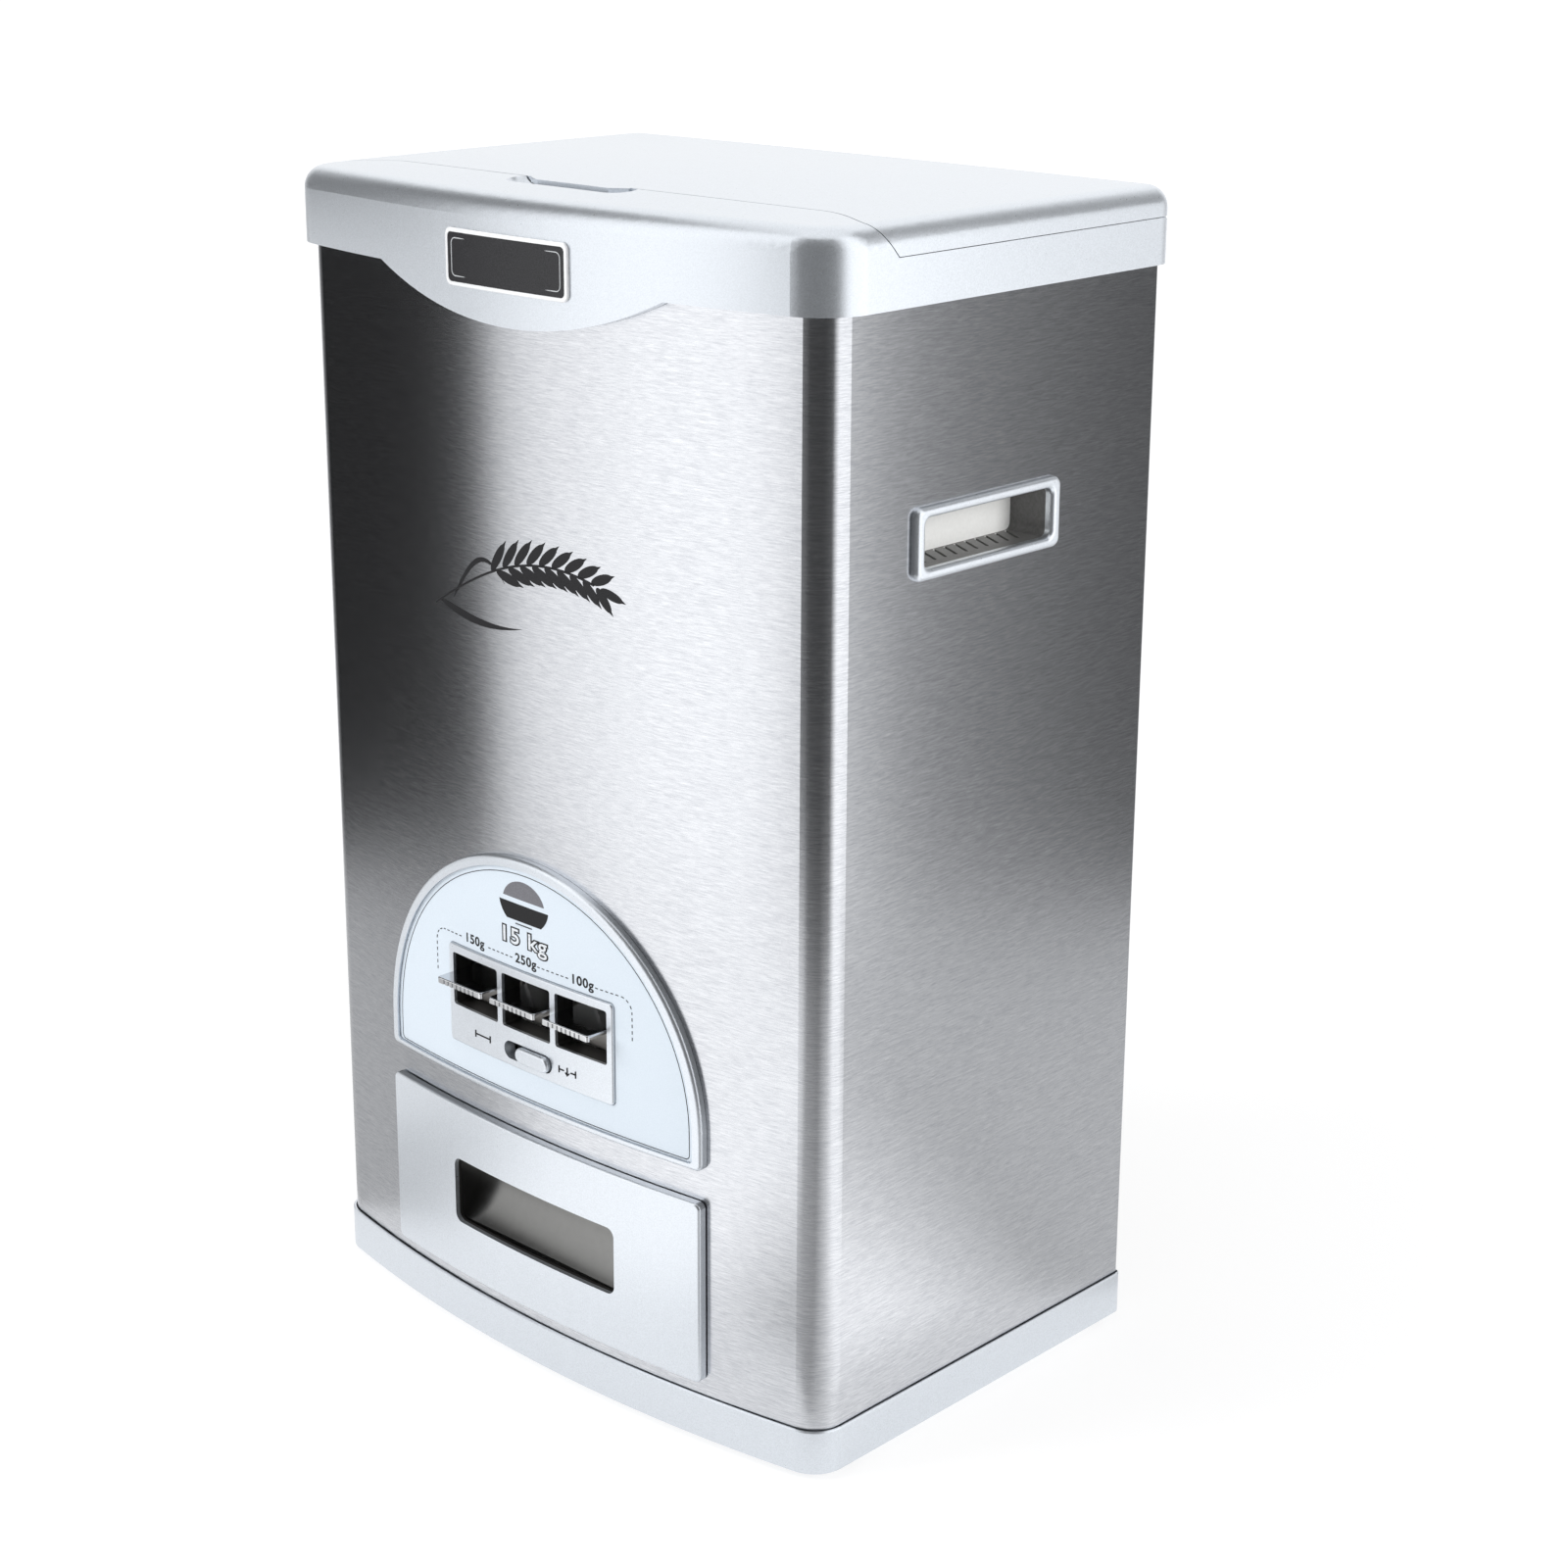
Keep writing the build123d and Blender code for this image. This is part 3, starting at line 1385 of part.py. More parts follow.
# Drawer rails
rail_web = 1.2
rail_outer_x = housing_half - housing_wall
rail_ledge_x = 87.0
rail_ledge = 1.4
rail_low_z = 62.2
rail_high_z = 69.2
runner_bottom = 64.0
runner_top = 67.4
runner_x = 90.0
rail_rear = housing_rear - housing_wall

with BuildPart() as rail_screws:
    for side in (-1, 1):
        for y in rail_screw_places:
            with Locations(Location((side * housing_half, y, rail_screw_z), (0, side * 90, 0))):
                add(
                    cross_screw(
                        rail_screw_head, rail_screw_head_height, rail_screw_shank, rail_screw_length
                    )
                )
save(rail_screws, "rail_screws")

for side, side_name in ((-1, "left"), (1, "right")):
    with BuildPart() as drawer_rail:
        with BuildSketch(Plane.XZ.offset(-housing_front)):
            with BuildLine():
                Polyline(
                    (side * rail_outer_x, rail_low_z),
                    (side * rail_ledge_x, rail_low_z),
                    (side * rail_ledge_x, rail_low_z + rail_ledge),
                    (side * (rail_outer_x - rail_web), rail_low_z + rail_ledge),
                    (side * (rail_outer_x - rail_web), rail_high_z - rail_ledge),
                    (side * rail_ledge_x, rail_high_z - rail_ledge),
                    (side * rail_ledge_x, rail_high_z),
                    (side * rail_outer_x, rail_high_z),
                    close=True,
                )
            make_face()
        extrude(amount=housing_front - rail_rear)
        with BuildSketch(Plane.YZ.offset(side * (rail_outer_x + 1))):
            with Locations(*[(y, rail_screw_z) for y in rail_screw_places]):
                Circle(rail_screw_shank + screw_gap)
        extrude(amount=-side * 4, mode=Mode.SUBTRACT)
    save(drawer_rail, f"drawer_rail_{side_name}")

# Catch drawer
tray_half = 86.0
tray_front = housing_front + 4.0
tray_rear = housing_rear - 8.0
tray_bottom = 34.0
tray_top = 98.0
tray_wall = 2.0
tray_corner = 5.0
boss_x = 70.0
boss_heights = (42.0, 92.0)
boss_radius = 4.0
drawer_screw_shank = 1.5
drawer_screw_head = 3.2
drawer_screw_head_height = 1.5
drawer_screw_length = 8.0
boss_places = [(side * boss_x, z) for side in (-1, 1) for z in boss_heights]

with BuildPart() as drawer_tray:
    with BuildSketch(Plane.XY.offset(tray_bottom)):
        with Locations((0, (tray_front + tray_rear) / 2)):
            RectangleRounded(2 * tray_half, tray_rear - tray_front, tray_corner)
    extrude(amount=tray_top - tray_bottom)
    fillet(drawer_tray.faces().sort_by(Axis.Z)[0].edges(), 3.0)
    with BuildSketch(Plane.XY.offset(tray_bottom + tray_wall)):
        with Locations((0, (tray_front + tray_rear) / 2)):
            RectangleRounded(
                2 * (tray_half - tray_wall), tray_rear - tray_front - 2 * tray_wall, tray_corner - tray_wall
            )
    extrude(amount=tray_top - tray_bottom, mode=Mode.SUBTRACT)
    with BuildSketch(Plane.XY.offset(runner_bottom)):
        with Locations((0, (tray_front + tray_corner + tray_rear - tray_corner) / 2)):
            Rectangle(2 * runner_x, tray_rear - tray_front - 2 * tray_corner)
            Rectangle(2 * tray_half - tray_wall, tray_rear - tray_front, mode=Mode.SUBTRACT)
    extrude(amount=runner_top - runner_bottom)
    with BuildSketch(Plane.XZ.offset(-tray_front)):
        with Locations(*boss_places):
            Circle(drawer_screw_shank + screw_gap)
    extrude(amount=-2 * tray_wall, mode=Mode.SUBTRACT)
save(drawer_tray, "drawer_tray")

# Drawer front with the window for the finger grip
front_back = 0.6
front_face = 4.2
grip_half = 50.0
grip_bottom = 53.8
grip_top = 84.0
grip_corner = 4.0
grip_wall = 1.5
grip_margin = 3.0
grip_rear_y = tray_front - 0.4
grip_sill_y = steel_front_y + 2.25
grip_face = front_back - 0.05
front_z = (drawer_front_bottom + drawer_front_top) / 2
grip_z = (grip_bottom + grip_top) / 2

window_outline = rectangle_at(0, grip_z, 2 * grip_half, grip_top - grip_bottom, grip_corner)
front_body = bowed_plate(
    front_back,
    front_face,
    rectangle_at(0, front_z, 2 * drawer_front_half, drawer_front_top - drawer_front_bottom, 3.0),
    20,
    120,
)

with BuildPart() as drawer_front:
    add(front_body)
    fillet(drawer_front.faces().sort_by(Axis.Y)[0].edges(), 1.2)
    add(bowed_plate(0, front_face + 1, window_outline, 20, 120), mode=Mode.SUBTRACT)
    with BuildSketch(Plane.XZ.offset(-tray_front)):
        with Locations(*boss_places):
            Circle(boss_radius)
    extrude(until=Until.NEXT)
    with BuildSketch(Plane.XZ.offset(-tray_front)):
        with Locations(*boss_places):
            Circle(drawer_screw_shank + screw_gap)
    extrude(amount=drawer_screw_length, mode=Mode.SUBTRACT)
save(drawer_front, "drawer_front")

with BuildPart() as drawer_grip:
    with BuildSketch(Plane.XZ.offset(-grip_rear_y)):
        with Locations((0, grip_z)):
            RectangleRounded(
                2 * (grip_half + grip_margin), grip_top - grip_bottom + 2 * grip_margin, grip_corner + 2
            )
    extrude(amount=20)
    add(bowed_plate(-40, grip_face, rectangle_at(0, grip_z, 150, 60, 1), 20, 120), mode=Mode.INTERSECT)
    with BuildSketch(Plane.YZ.offset(-grip_half)):
        with BuildLine():
            Polyline(
                (grip_sill_y, grip_bottom),
                (front_clear_y, grip_bottom),
                (front_clear_y, grip_top),
                (grip_rear_y - grip_wall, grip_top),
            )
            ThreePointArc(
                (grip_rear_y - grip_wall, grip_top),
                (grip_rear_y - grip_wall - 1.6, grip_z - 3.0),
                (grip_sill_y, grip_bottom),
            )
        make_face()
    extrude(amount=2 * grip_half, mode=Mode.SUBTRACT)
save(drawer_grip, "drawer_grip")

with BuildPart() as drawer_screws:
    for x, z in boss_places:
        with Locations(Location((x, tray_front + tray_wall, z), (-90, 0, 0))):
            add(
                cross_screw(
                    drawer_screw_head, drawer_screw_head_height, drawer_screw_shank, drawer_screw_length
                )
            )
save(drawer_screws, "drawer_screws")
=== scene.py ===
# %% [markdown]
# A rice dispenser: a brushed steel cabinet with a bowed front, a silver collar and lid, a dome-shaped
# key panel and a catch drawer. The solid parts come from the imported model. This lesson gives them
# their finishes, adds the printed marks and small trim, and sets up a plain studio.

# %% Load the frame
import math

import bpy
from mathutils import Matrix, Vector


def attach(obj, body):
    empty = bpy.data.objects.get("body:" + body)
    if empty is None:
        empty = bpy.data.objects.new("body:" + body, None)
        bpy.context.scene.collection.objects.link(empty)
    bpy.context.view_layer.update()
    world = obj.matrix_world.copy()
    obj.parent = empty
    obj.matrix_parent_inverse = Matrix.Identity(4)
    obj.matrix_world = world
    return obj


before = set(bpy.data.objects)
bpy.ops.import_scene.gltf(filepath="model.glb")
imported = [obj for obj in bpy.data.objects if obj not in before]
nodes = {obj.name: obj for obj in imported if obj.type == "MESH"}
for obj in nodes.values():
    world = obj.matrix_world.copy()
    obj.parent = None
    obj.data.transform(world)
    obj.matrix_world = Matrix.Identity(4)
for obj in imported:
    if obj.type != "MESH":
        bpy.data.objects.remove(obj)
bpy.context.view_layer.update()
bpy.ops.object.select_all(action="DESELECT")

# %% [markdown]
# The front of the cabinet is one shallow arc seen from above. Everything printed or fixed on the front
# follows it, so the arc is worked out once from the cabinet's own sizes. An offset moves the surface
# outward from the steel. All lengths are in metres.

# %% The bow of the front
HALF_WIDTH = 0.14925
SIDE_DEPTH = 0.1945
BOW_RISE = 0.016
REAR_Y = 0.10825
BOW_RADIUS = (HALF_WIDTH**2 + BOW_RISE**2) / (2 * BOW_RISE)
BOW_CENTRE_Y = REAR_Y - SIDE_DEPTH - BOW_RISE + BOW_RADIUS


def bow_y(x, offset):
    return BOW_CENTRE_Y - math.sqrt((BOW_RADIUS + offset) ** 2 - x * x)


print("bow radius", round(BOW_RADIUS, 4), "front of the steel", round(bow_y(0, 0), 4))

# %% [markdown]
# The camera stands in front, to the right and a little above. A long lens keeps the upright edges
# nearly parallel, and a small shift frames the object as a product picture does.

# %% Camera
camera_data = bpy.data.cameras.new("studio_camera")
camera = bpy.data.objects.new("studio_camera", camera_data)
bpy.context.scene.collection.objects.link(camera)
camera.location = (0.844785, -0.848387, 0.635347)
camera.rotation_euler = (math.radians(90 - 16.89), 0, math.radians(44.24))
camera_data.sensor_width = 36
camera_data.lens = 67.11
camera_data.shift_x = 0.0304
camera_data.shift_y = -0.0442
bpy.context.scene.camera = camera
bpy.context.scene.view_settings.view_transform = "Standard"
print("camera lens", camera_data.lens)

# %% [markdown]
# A material is a small graph. These helpers start one, add a node with its values, and join two
# sockets, so that each finish below reads as a short recipe.


# %% Helpers for materials
def new_material(name):
    material = bpy.data.materials.new(name)
    material.use_nodes = True
    tree = material.node_tree
    shader = tree.nodes["Principled BSDF"]
    return material, tree, shader


def add_node(tree, kind, **values):
    node = tree.nodes.new(kind)
    for key, value in values.items():
        if hasattr(node, key):
            setattr(node, key, value)
        else:
            node.inputs[key.replace("_", " ")].default_value = value
    return node


def join(tree, source, target):
    tree.links.new(source, target)


def object_noise(tree, stretch, scale, detail=2.0, roughness=0.5):
    """Noise on the piece's own coordinates, stretched along X, Y and Z."""
    place = add_node(tree, "ShaderNodeTexCoord")
    mapping = add_node(tree, "ShaderNodeMapping")
    mapping.inputs["Scale"].default_value = stretch
    noise = add_node(tree, "ShaderNodeTexNoise", Scale=scale, Detail=detail, Roughness=roughness)
    join(tree, place.outputs["Object"], mapping.inputs["Vector"])
    join(tree, mapping.outputs["Vector"], noise.inputs["Vector"])
    return noise


def ramp(tree, source, low, high, low_colour, high_colour):
    """Turns a value into a colour between two ends."""
    node = add_node(tree, "ShaderNodeValToRGB")
    node.color_ramp.elements[0].position = low
    node.color_ramp.elements[0].color = (*low_colour, 1)
    node.color_ramp.elements[1].position = high
    node.color_ramp.elements[1].color = (*high_colour, 1)
    join(tree, source, node.inputs["Fac"])
    return node


def spread(tree, source, low, high):
    """Maps a value from 0..1 to a new range."""
    node = add_node(tree, "ShaderNodeMapRange")
    node.inputs["To Min"].default_value = low
    node.inputs["To Max"].default_value = high
    join(tree, source, node.inputs["Value"])
    return node


def add_bump(tree, shader, source, strength, distance):
    node = add_node(tree, "ShaderNodeBump", Strength=strength, Distance=distance)
    join(tree, source, node.inputs["Height"])
    join(tree, node.outputs["Normal"], shader.inputs["Normal"])
    return node


def paint(names, material):
    for name in names:
        node = nodes[name]
        node.data.materials.clear()
        node.data.materials.append(material)


# %% [markdown]
# Brushed stainless steel is drawn through a sander, so it has fine level scratches. They make the
# reflection soft upward and downward and keep it sharper sideways. A noise squeezed in height gives
# the scratches, and the shader's anisotropy along a level tangent gives the long upright blur.

# %% Brushed steel
steel, tree, shader = new_material("brushed_steel")
fine = object_noise(tree, (150, 150, 1900), 1.0, detail=3.0, roughness=0.8)
broad = object_noise(tree, (60, 60, 700), 1.0, detail=2.0, roughness=0.6)
mix = add_node(tree, "ShaderNodeMath", operation="MULTIPLY_ADD")
mix.inputs[1].default_value = 0.9
join(tree, fine.outputs["Fac"], mix.inputs[0])
soft = spread(tree, broad.outputs["Fac"], 0.0, 0.1)
join(tree, soft.outputs["Result"], mix.inputs[2])
tone = ramp(tree, mix.outputs["Value"], 0.32, 0.68, (0.525, 0.54, 0.575), (0.755, 0.77, 0.80))
join(tree, tone.outputs["Color"], shader.inputs["Base Color"])
polish = spread(tree, mix.outputs["Value"], 0.19, 0.24)
join(tree, polish.outputs["Result"], shader.inputs["Roughness"])
shader.inputs["Metallic"].default_value = 1.0
shader.inputs["Anisotropic"].default_value = 0.7
shader.inputs["Anisotropic Rotation"].default_value = 0.25
tangent = add_node(tree, "ShaderNodeTangent", direction_type="RADIAL", axis="Z")
join(tree, tangent.outputs["Tangent"], shader.inputs["Tangent"])
add_bump(tree, shader, fine.outputs["Fac"], 0.08, 0.0001)
paint(["cabinet_shell"], steel)

# %% [markdown]
# Zinc-coated sheet is duller. Large pale and dark flakes of zinc lie on it, which a cell pattern gives.

# %% Zinc-coated sheet
zinc, tree, shader = new_material("zinc_sheet")
place = add_node(tree, "ShaderNodeTexCoord")
flakes = add_node(tree, "ShaderNodeTexVoronoi", Scale=140.0)
join(tree, place.outputs["Object"], flakes.inputs["Vector"])
tone = ramp(tree, flakes.outputs["Color"], 0.1, 0.9, (0.42, 0.43, 0.44), (0.60, 0.61, 0.62))
join(tree, tone.outputs["Color"], shader.inputs["Base Color"])
shader.inputs["Metallic"].default_value = 1.0
polish = spread(tree, flakes.outputs["Distance"], 0.38, 0.52)
join(tree, polish.outputs["Result"], shader.inputs["Roughness"])
paint(["rear_panel", "drawer_housing", "drawer_rail_left", "drawer_rail_right"], zinc)

# %% [markdown]
# The collar, lid, base, panel and drawer are moulded plastic with a pale silver lacquer. Tiny metal
# flakes sparkle under a clear coat, and the moulding leaves a faint orange peel.


# %% Silver lacquer
LACQUER_COLOUR = (0.73, 0.77, 0.82)
LACQUER_ROUGHNESS = 0.31
LACQUER_METAL = 0.85
PLAIN_LACQUER = [
    "top_collar",
    "lid",
    "base_plinth",
    "panel_bezel",
    "handle_bezel_left",
    "handle_bezel_right",
    "slide_knob",
]


def silver_lacquer(name):
    """Metal flakes in a clear lacquer. Returns the flake tone too, for finishes that build on it."""
    material, tree, shader = new_material(name)
    place = add_node(tree, "ShaderNodeTexCoord")
    flakes = add_node(tree, "ShaderNodeTexVoronoi", Scale=2600.0)
    join(tree, place.outputs["Object"], flakes.inputs["Vector"])
    dark = tuple(c * 0.92 for c in LACQUER_COLOUR)
    light = tuple(min(1.0, c * 1.07) for c in LACQUER_COLOUR)
    tone = ramp(tree, flakes.outputs["Color"], 0.05, 0.95, dark, light)
    join(tree, tone.outputs["Color"], shader.inputs["Base Color"])
    polish = spread(tree, flakes.outputs["Color"], LACQUER_ROUGHNESS - 0.04, LACQUER_ROUGHNESS + 0.04)
    join(tree, polish.outputs["Result"], shader.inputs["Roughness"])
    shader.inputs["Metallic"].default_value = LACQUER_METAL
    shader.inputs["Coat Weight"].default_value = 0.15
    shader.inputs["Coat Roughness"].default_value = 0.12
    peel = object_noise(tree, (1, 1, 1), 420.0, detail=1.0)
    add_bump(tree, shader, peel.outputs["Fac"], 0.05, 0.0002)
    return material, tree, shader, tone


paint(PLAIN_LACQUER, silver_lacquer("silver_lacquer")[0])

# %% [markdown]
# Inside the windows of the key frame and of the drawer, the walls are coloured black from a little behind
# the face. The depth behind the bowed face tells the two apart:
# it is the distance from the middle of the bow's circle, less the circle's radius.


# %% Lacquer with black window walls
# The black of the window walls, from a little behind the face inward.
WINDOW_WALL_BLACK = (0.022, 0.021, 0.020, 1)


def masked_lacquer(name, black_from_offset, half_x, low_z, high_z):
    """Lacquer that turns black behind the given offset, inside a box in X and Z."""
    material, tree, shader, tone = silver_lacquer(name)
    place = add_node(tree, "ShaderNodeTexCoord")
    split = add_node(tree, "ShaderNodeSeparateXYZ")
    join(tree, place.outputs["Object"], split.inputs["Vector"])

    def step(source, operation, value):
        node = add_node(tree, "ShaderNodeMath", operation=operation)
        join(tree, source, node.inputs[0])
        node.inputs[1].default_value = value
        return node.outputs["Value"]

    def both(first, second):
        node = add_node(tree, "ShaderNodeMath", operation="MULTIPLY")
        join(tree, first, node.inputs[0])
        join(tree, second, node.inputs[1])
        return node.outputs["Value"]

    across = add_node(tree, "ShaderNodeCombineXYZ")
    reach = add_node(tree, "ShaderNodeVectorMath", operation="LENGTH")
    join(tree, split.outputs["X"], across.inputs["X"])
    join(tree, step(split.outputs["Y"], "SUBTRACT", BOW_CENTRE_Y), across.inputs["Y"])
    join(tree, across.outputs["Vector"], reach.inputs[0])
    deep = step(reach.outputs["Value"], "LESS_THAN", BOW_RADIUS + black_from_offset)
    side = step(step(split.outputs["X"], "ABSOLUTE", 0.0), "LESS_THAN", half_x)
    above = step(split.outputs["Z"], "GREATER_THAN", low_z)
    below = step(split.outputs["Z"], "LESS_THAN", high_z)
    black_wall = both(both(deep, side), both(above, below))
    blend = add_node(tree, "ShaderNodeMix", data_type="RGBA")
    colour_in = [socket for socket in blend.inputs if socket.type == "RGBA"]
    colour_out = [socket for socket in blend.outputs if socket.type == "RGBA"][0]
    join(tree, black_wall, blend.inputs["Factor"])
    join(tree, tone.outputs["Color"], colour_in[0])
    colour_in[1].default_value = WINDOW_WALL_BLACK
    join(tree, colour_out, shader.inputs["Base Color"])
    metal = spread(tree, black_wall, LACQUER_METAL, 0.0)
    join(tree, metal.outputs["Result"], shader.inputs["Metallic"])
    return material


frame_lacquer = masked_lacquer(
    "frame_lacquer", black_from_offset=0.0022, half_x=0.0475, low_z=0.1558, high_z=0.1803
)
drawer_lacquer = masked_lacquer(
    "drawer_lacquer", black_from_offset=0.0020, half_x=0.0504, low_z=0.0534, high_z=0.0844
)
paint(["key_frame"], frame_lacquer)
paint(["drawer_front"], drawer_lacquer)

# %% [markdown]
# The label is a satin printed film, almost the colour of the lacquer but flatter. The badge is a glossy
# white plate with a dark satin field.

# %% Film and badge
film, tree, shader = new_material("printed_film")
grain = object_noise(tree, (1, 1, 1), 1800.0, detail=2.0)
tone = ramp(tree, grain.outputs["Fac"], 0.3, 0.7, (0.69, 0.77, 0.85), (0.73, 0.81, 0.89))
join(tree, tone.outputs["Color"], shader.inputs["Base Color"])
shader.inputs["Metallic"].default_value = 0.0
shader.inputs["Roughness"].default_value = 0.38
shader.inputs["Coat Weight"].default_value = 0.25
shader.inputs["Coat Roughness"].default_value = 0.2
paint(["label_film"], film)

badge_white, tree, shader = new_material("badge_white")
grain = object_noise(tree, (1, 1, 1), 500.0)
tone = ramp(tree, grain.outputs["Fac"], 0.3, 0.7, (0.80, 0.81, 0.82), (0.86, 0.87, 0.88))
join(tree, tone.outputs["Color"], shader.inputs["Base Color"])
shader.inputs["Roughness"].default_value = 0.22
shader.inputs["Coat Weight"].default_value = 0.5
paint(["badge_plate"], badge_white)

badge_dark, tree, shader = new_material("badge_dark")
grain = object_noise(tree, (1, 1, 1), 2500.0)
tone = ramp(tree, grain.outputs["Fac"], 0.35, 0.65, (0.018, 0.018, 0.02), (0.035, 0.035, 0.038))
join(tree, tone.outputs["Color"], shader.inputs["Base Color"])
shader.inputs["Roughness"].default_value = 0.28
shader.inputs["Specular IOR Level"].default_value = 0.25
paint(["badge_inset"], badge_dark)

# %% [markdown]
# The key caps are plated plastic, so they mirror their surroundings with a slight ripple. Pins, rods
# and screws are plain plated steel with a duller shine.


# %% Plated parts
def plated(name, colour, low, high, ripple):
    material, tree, shader = new_material(name)
    smear = object_noise(tree, (1, 1, 1), 260.0, detail=3.0)
    tone = ramp(tree, smear.outputs["Fac"], 0.3, 0.7, tuple(c * 0.94 for c in colour), colour)
    join(tree, tone.outputs["Color"], shader.inputs["Base Color"])
    polish = spread(tree, smear.outputs["Fac"], low, high)
    join(tree, polish.outputs["Result"], shader.inputs["Roughness"])
    shader.inputs["Metallic"].default_value = 1.0
    add_bump(tree, shader, smear.outputs["Fac"], ripple, 0.0002)
    return material


grip_grey = plated("grip_grey", (0.24, 0.24, 0.235), 0.20, 0.26, 0.02)
paint(["drawer_grip"], grip_grey)
chrome = plated("chrome_plate", (0.72, 0.73, 0.75), 0.06, 0.14, 0.30)
plated_steel = plated("plated_steel", (0.62, 0.62, 0.62), 0.22, 0.38, 0.03)
paint(["key_cap_150", "key_cap_250", "key_cap_100"], chrome)
paint(
    [
        "key_shaft",
        "key_springs",
        "hinge_pin_left",
        "hinge_pin_right",
        "foot_screws",
        "rear_screws",
        "rail_screws",
        "drawer_screws",
        "block_screws",
    ],
    plated_steel,
)

# %% [markdown]
# Plain moulded plastics have a fine spark-eroded grain. One recipe serves for all of them, with its
# own colour and gloss for each.


# %% Moulded plastics and rubber
def moulded(name, colour, roughness, grain_scale, depth):
    material, tree, shader = new_material(name)
    grain = object_noise(tree, (1, 1, 1), grain_scale, detail=3.0, roughness=0.6)
    tone = ramp(tree, grain.outputs["Fac"], 0.3, 0.7, tuple(c * 0.9 for c in colour), colour)
    join(tree, tone.outputs["Color"], shader.inputs["Base Color"])
    polish = spread(tree, grain.outputs["Fac"], roughness - 0.05, roughness + 0.08)
    join(tree, polish.outputs["Result"], shader.inputs["Roughness"])
    add_bump(tree, shader, grain.outputs["Fac"], depth, 0.0002)
    return material


rocker_plastic = moulded("rocker_plastic", (0.30, 0.288, 0.275), 0.42, 900.0, 0.12)
inner_plastic = moulded("inner_plastic", (0.80, 0.80, 0.78), 0.45, 700.0, 0.1)
grey_rubber = moulded("grey_rubber", (0.20, 0.20, 0.21), 0.7, 1200.0, 0.2)
black_rubber = moulded("black_rubber", (0.03, 0.03, 0.03), 0.75, 1200.0, 0.25)
paint(
    ["hopper", "throat_block", "dose_block", "outlet_grille", "shutter_plate", "drawer_tray"],
    inner_plastic,
)
paint(["key_rocker_150", "key_rocker_250", "key_rocker_100"], rocker_plastic)
paint(["lid_seal"], grey_rubber)
paint(["foot_front_left", "foot_front_right", "foot_rear_left", "foot_rear_right"], black_rubber)

# %% [markdown]
# The grip cups are moulded in cream plastic. Their floor, ceiling and ends are painted dark as painted
# shade, the shade that falls inside the cup, while the back wall keeps the cream. The face that looks
# sideways is picked by its own direction.

# %% Grip cups
cup_plastic_painted_shade, tree, shader = new_material("cup_plastic_painted_shade")
grain = object_noise(tree, (1, 1, 1), 700.0, detail=3.0, roughness=0.6)
cream = ramp(tree, grain.outputs["Fac"], 0.3, 0.7, (0.86, 0.86, 0.84), (0.92, 0.92, 0.90))
# Painted shade: this dark colour for the cup's floor, ceiling and ends stands in for the shade inside the
# cup.
painted_shade_grey = ramp(tree, grain.outputs["Fac"], 0.3, 0.7, (0.12, 0.118, 0.115), (0.18, 0.178, 0.175))
face = add_node(tree, "ShaderNodeNewGeometry")
parts = add_node(tree, "ShaderNodeSeparateXYZ")
sideways = add_node(tree, "ShaderNodeMath", operation="ABSOLUTE")
unshaded_back_wall = spread(tree, sideways.outputs["Value"], 0.0, 1.0)
unshaded_back_wall.inputs["From Min"].default_value = 0.45
unshaded_back_wall.inputs["From Max"].default_value = 0.75
# Painted shade mix: cream on the back wall that faces sideways, the dark painted shade on every other
# face.
painted_shade_mix = add_node(tree, "ShaderNodeMix", data_type="RGBA")
join(tree, face.outputs["True Normal"], parts.inputs["Vector"])
join(tree, parts.outputs["X"], sideways.inputs[0])
join(tree, unshaded_back_wall.outputs["Result"], painted_shade_mix.inputs["Factor"])
join(tree, painted_shade_grey.outputs["Color"], painted_shade_mix.inputs["A"])
join(tree, cream.outputs["Color"], painted_shade_mix.inputs["B"])
join(tree, painted_shade_mix.outputs["Result"], shader.inputs["Base Color"])
polish = spread(tree, grain.outputs["Fac"], 0.36, 0.48)
join(tree, polish.outputs["Result"], shader.inputs["Roughness"])
add_bump(tree, shader, grain.outputs["Fac"], 0.10, 0.0002)
paint(["handle_cup_left", "handle_cup_right"], cup_plastic_painted_shade)

# %% [markdown]
# The print is black ink with a little sheen.


# %% Inks
def ink(name, colour):
    material, tree, shader = new_material(name)
    grain = object_noise(tree, (1, 1, 1), 1500.0)
    tone = ramp(tree, grain.outputs["Fac"], 0.3, 0.7, tuple(c * 0.8 for c in colour), colour)
    join(tree, tone.outputs["Color"], shader.inputs["Base Color"])
    shader.inputs["Roughness"].default_value = 0.45
    shader.inputs["Specular IOR Level"].default_value = 0.2
    return material


black_ink = ink("black_ink", (0.02, 0.02, 0.022))
grey_ink = ink("grey_ink", (0.20, 0.20, 0.22))
line_ink = ink("line_ink", (0.05, 0.05, 0.055))
pale_ink = ink("pale_ink", (0.62, 0.64, 0.66))
white_ink = ink("white_ink", (0.84, 0.88, 0.92))

# %% [markdown]
# Printed marks are thin solids that stand a few hundredths of a millimetre proud. A text object is
# made with Blender's own font, turned upright, changed to a mesh, and each of its points is moved
# onto the bow. The same helper then serves for every mark.

# %% Marks that follow the bow
INK = 0.00006
SIZE_PER_HEIGHT = 1.38
LETTER_SPACING = 1.1


def only(piece):
    bpy.ops.object.select_all(action="DESELECT")
    piece.select_set(True)
    bpy.context.view_layer.objects.active = piece


def lay_on_bow(piece, offset):
    """Points at y = 0 land on the bowed surface with that offset. Depth is kept."""
    for vertex in piece.data.vertices:
        vertex.co.y += bow_y(vertex.co.x, offset)


def finish_piece(piece, material, body):
    piece.data.materials.clear()
    piece.data.materials.append(material)
    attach(piece, body)


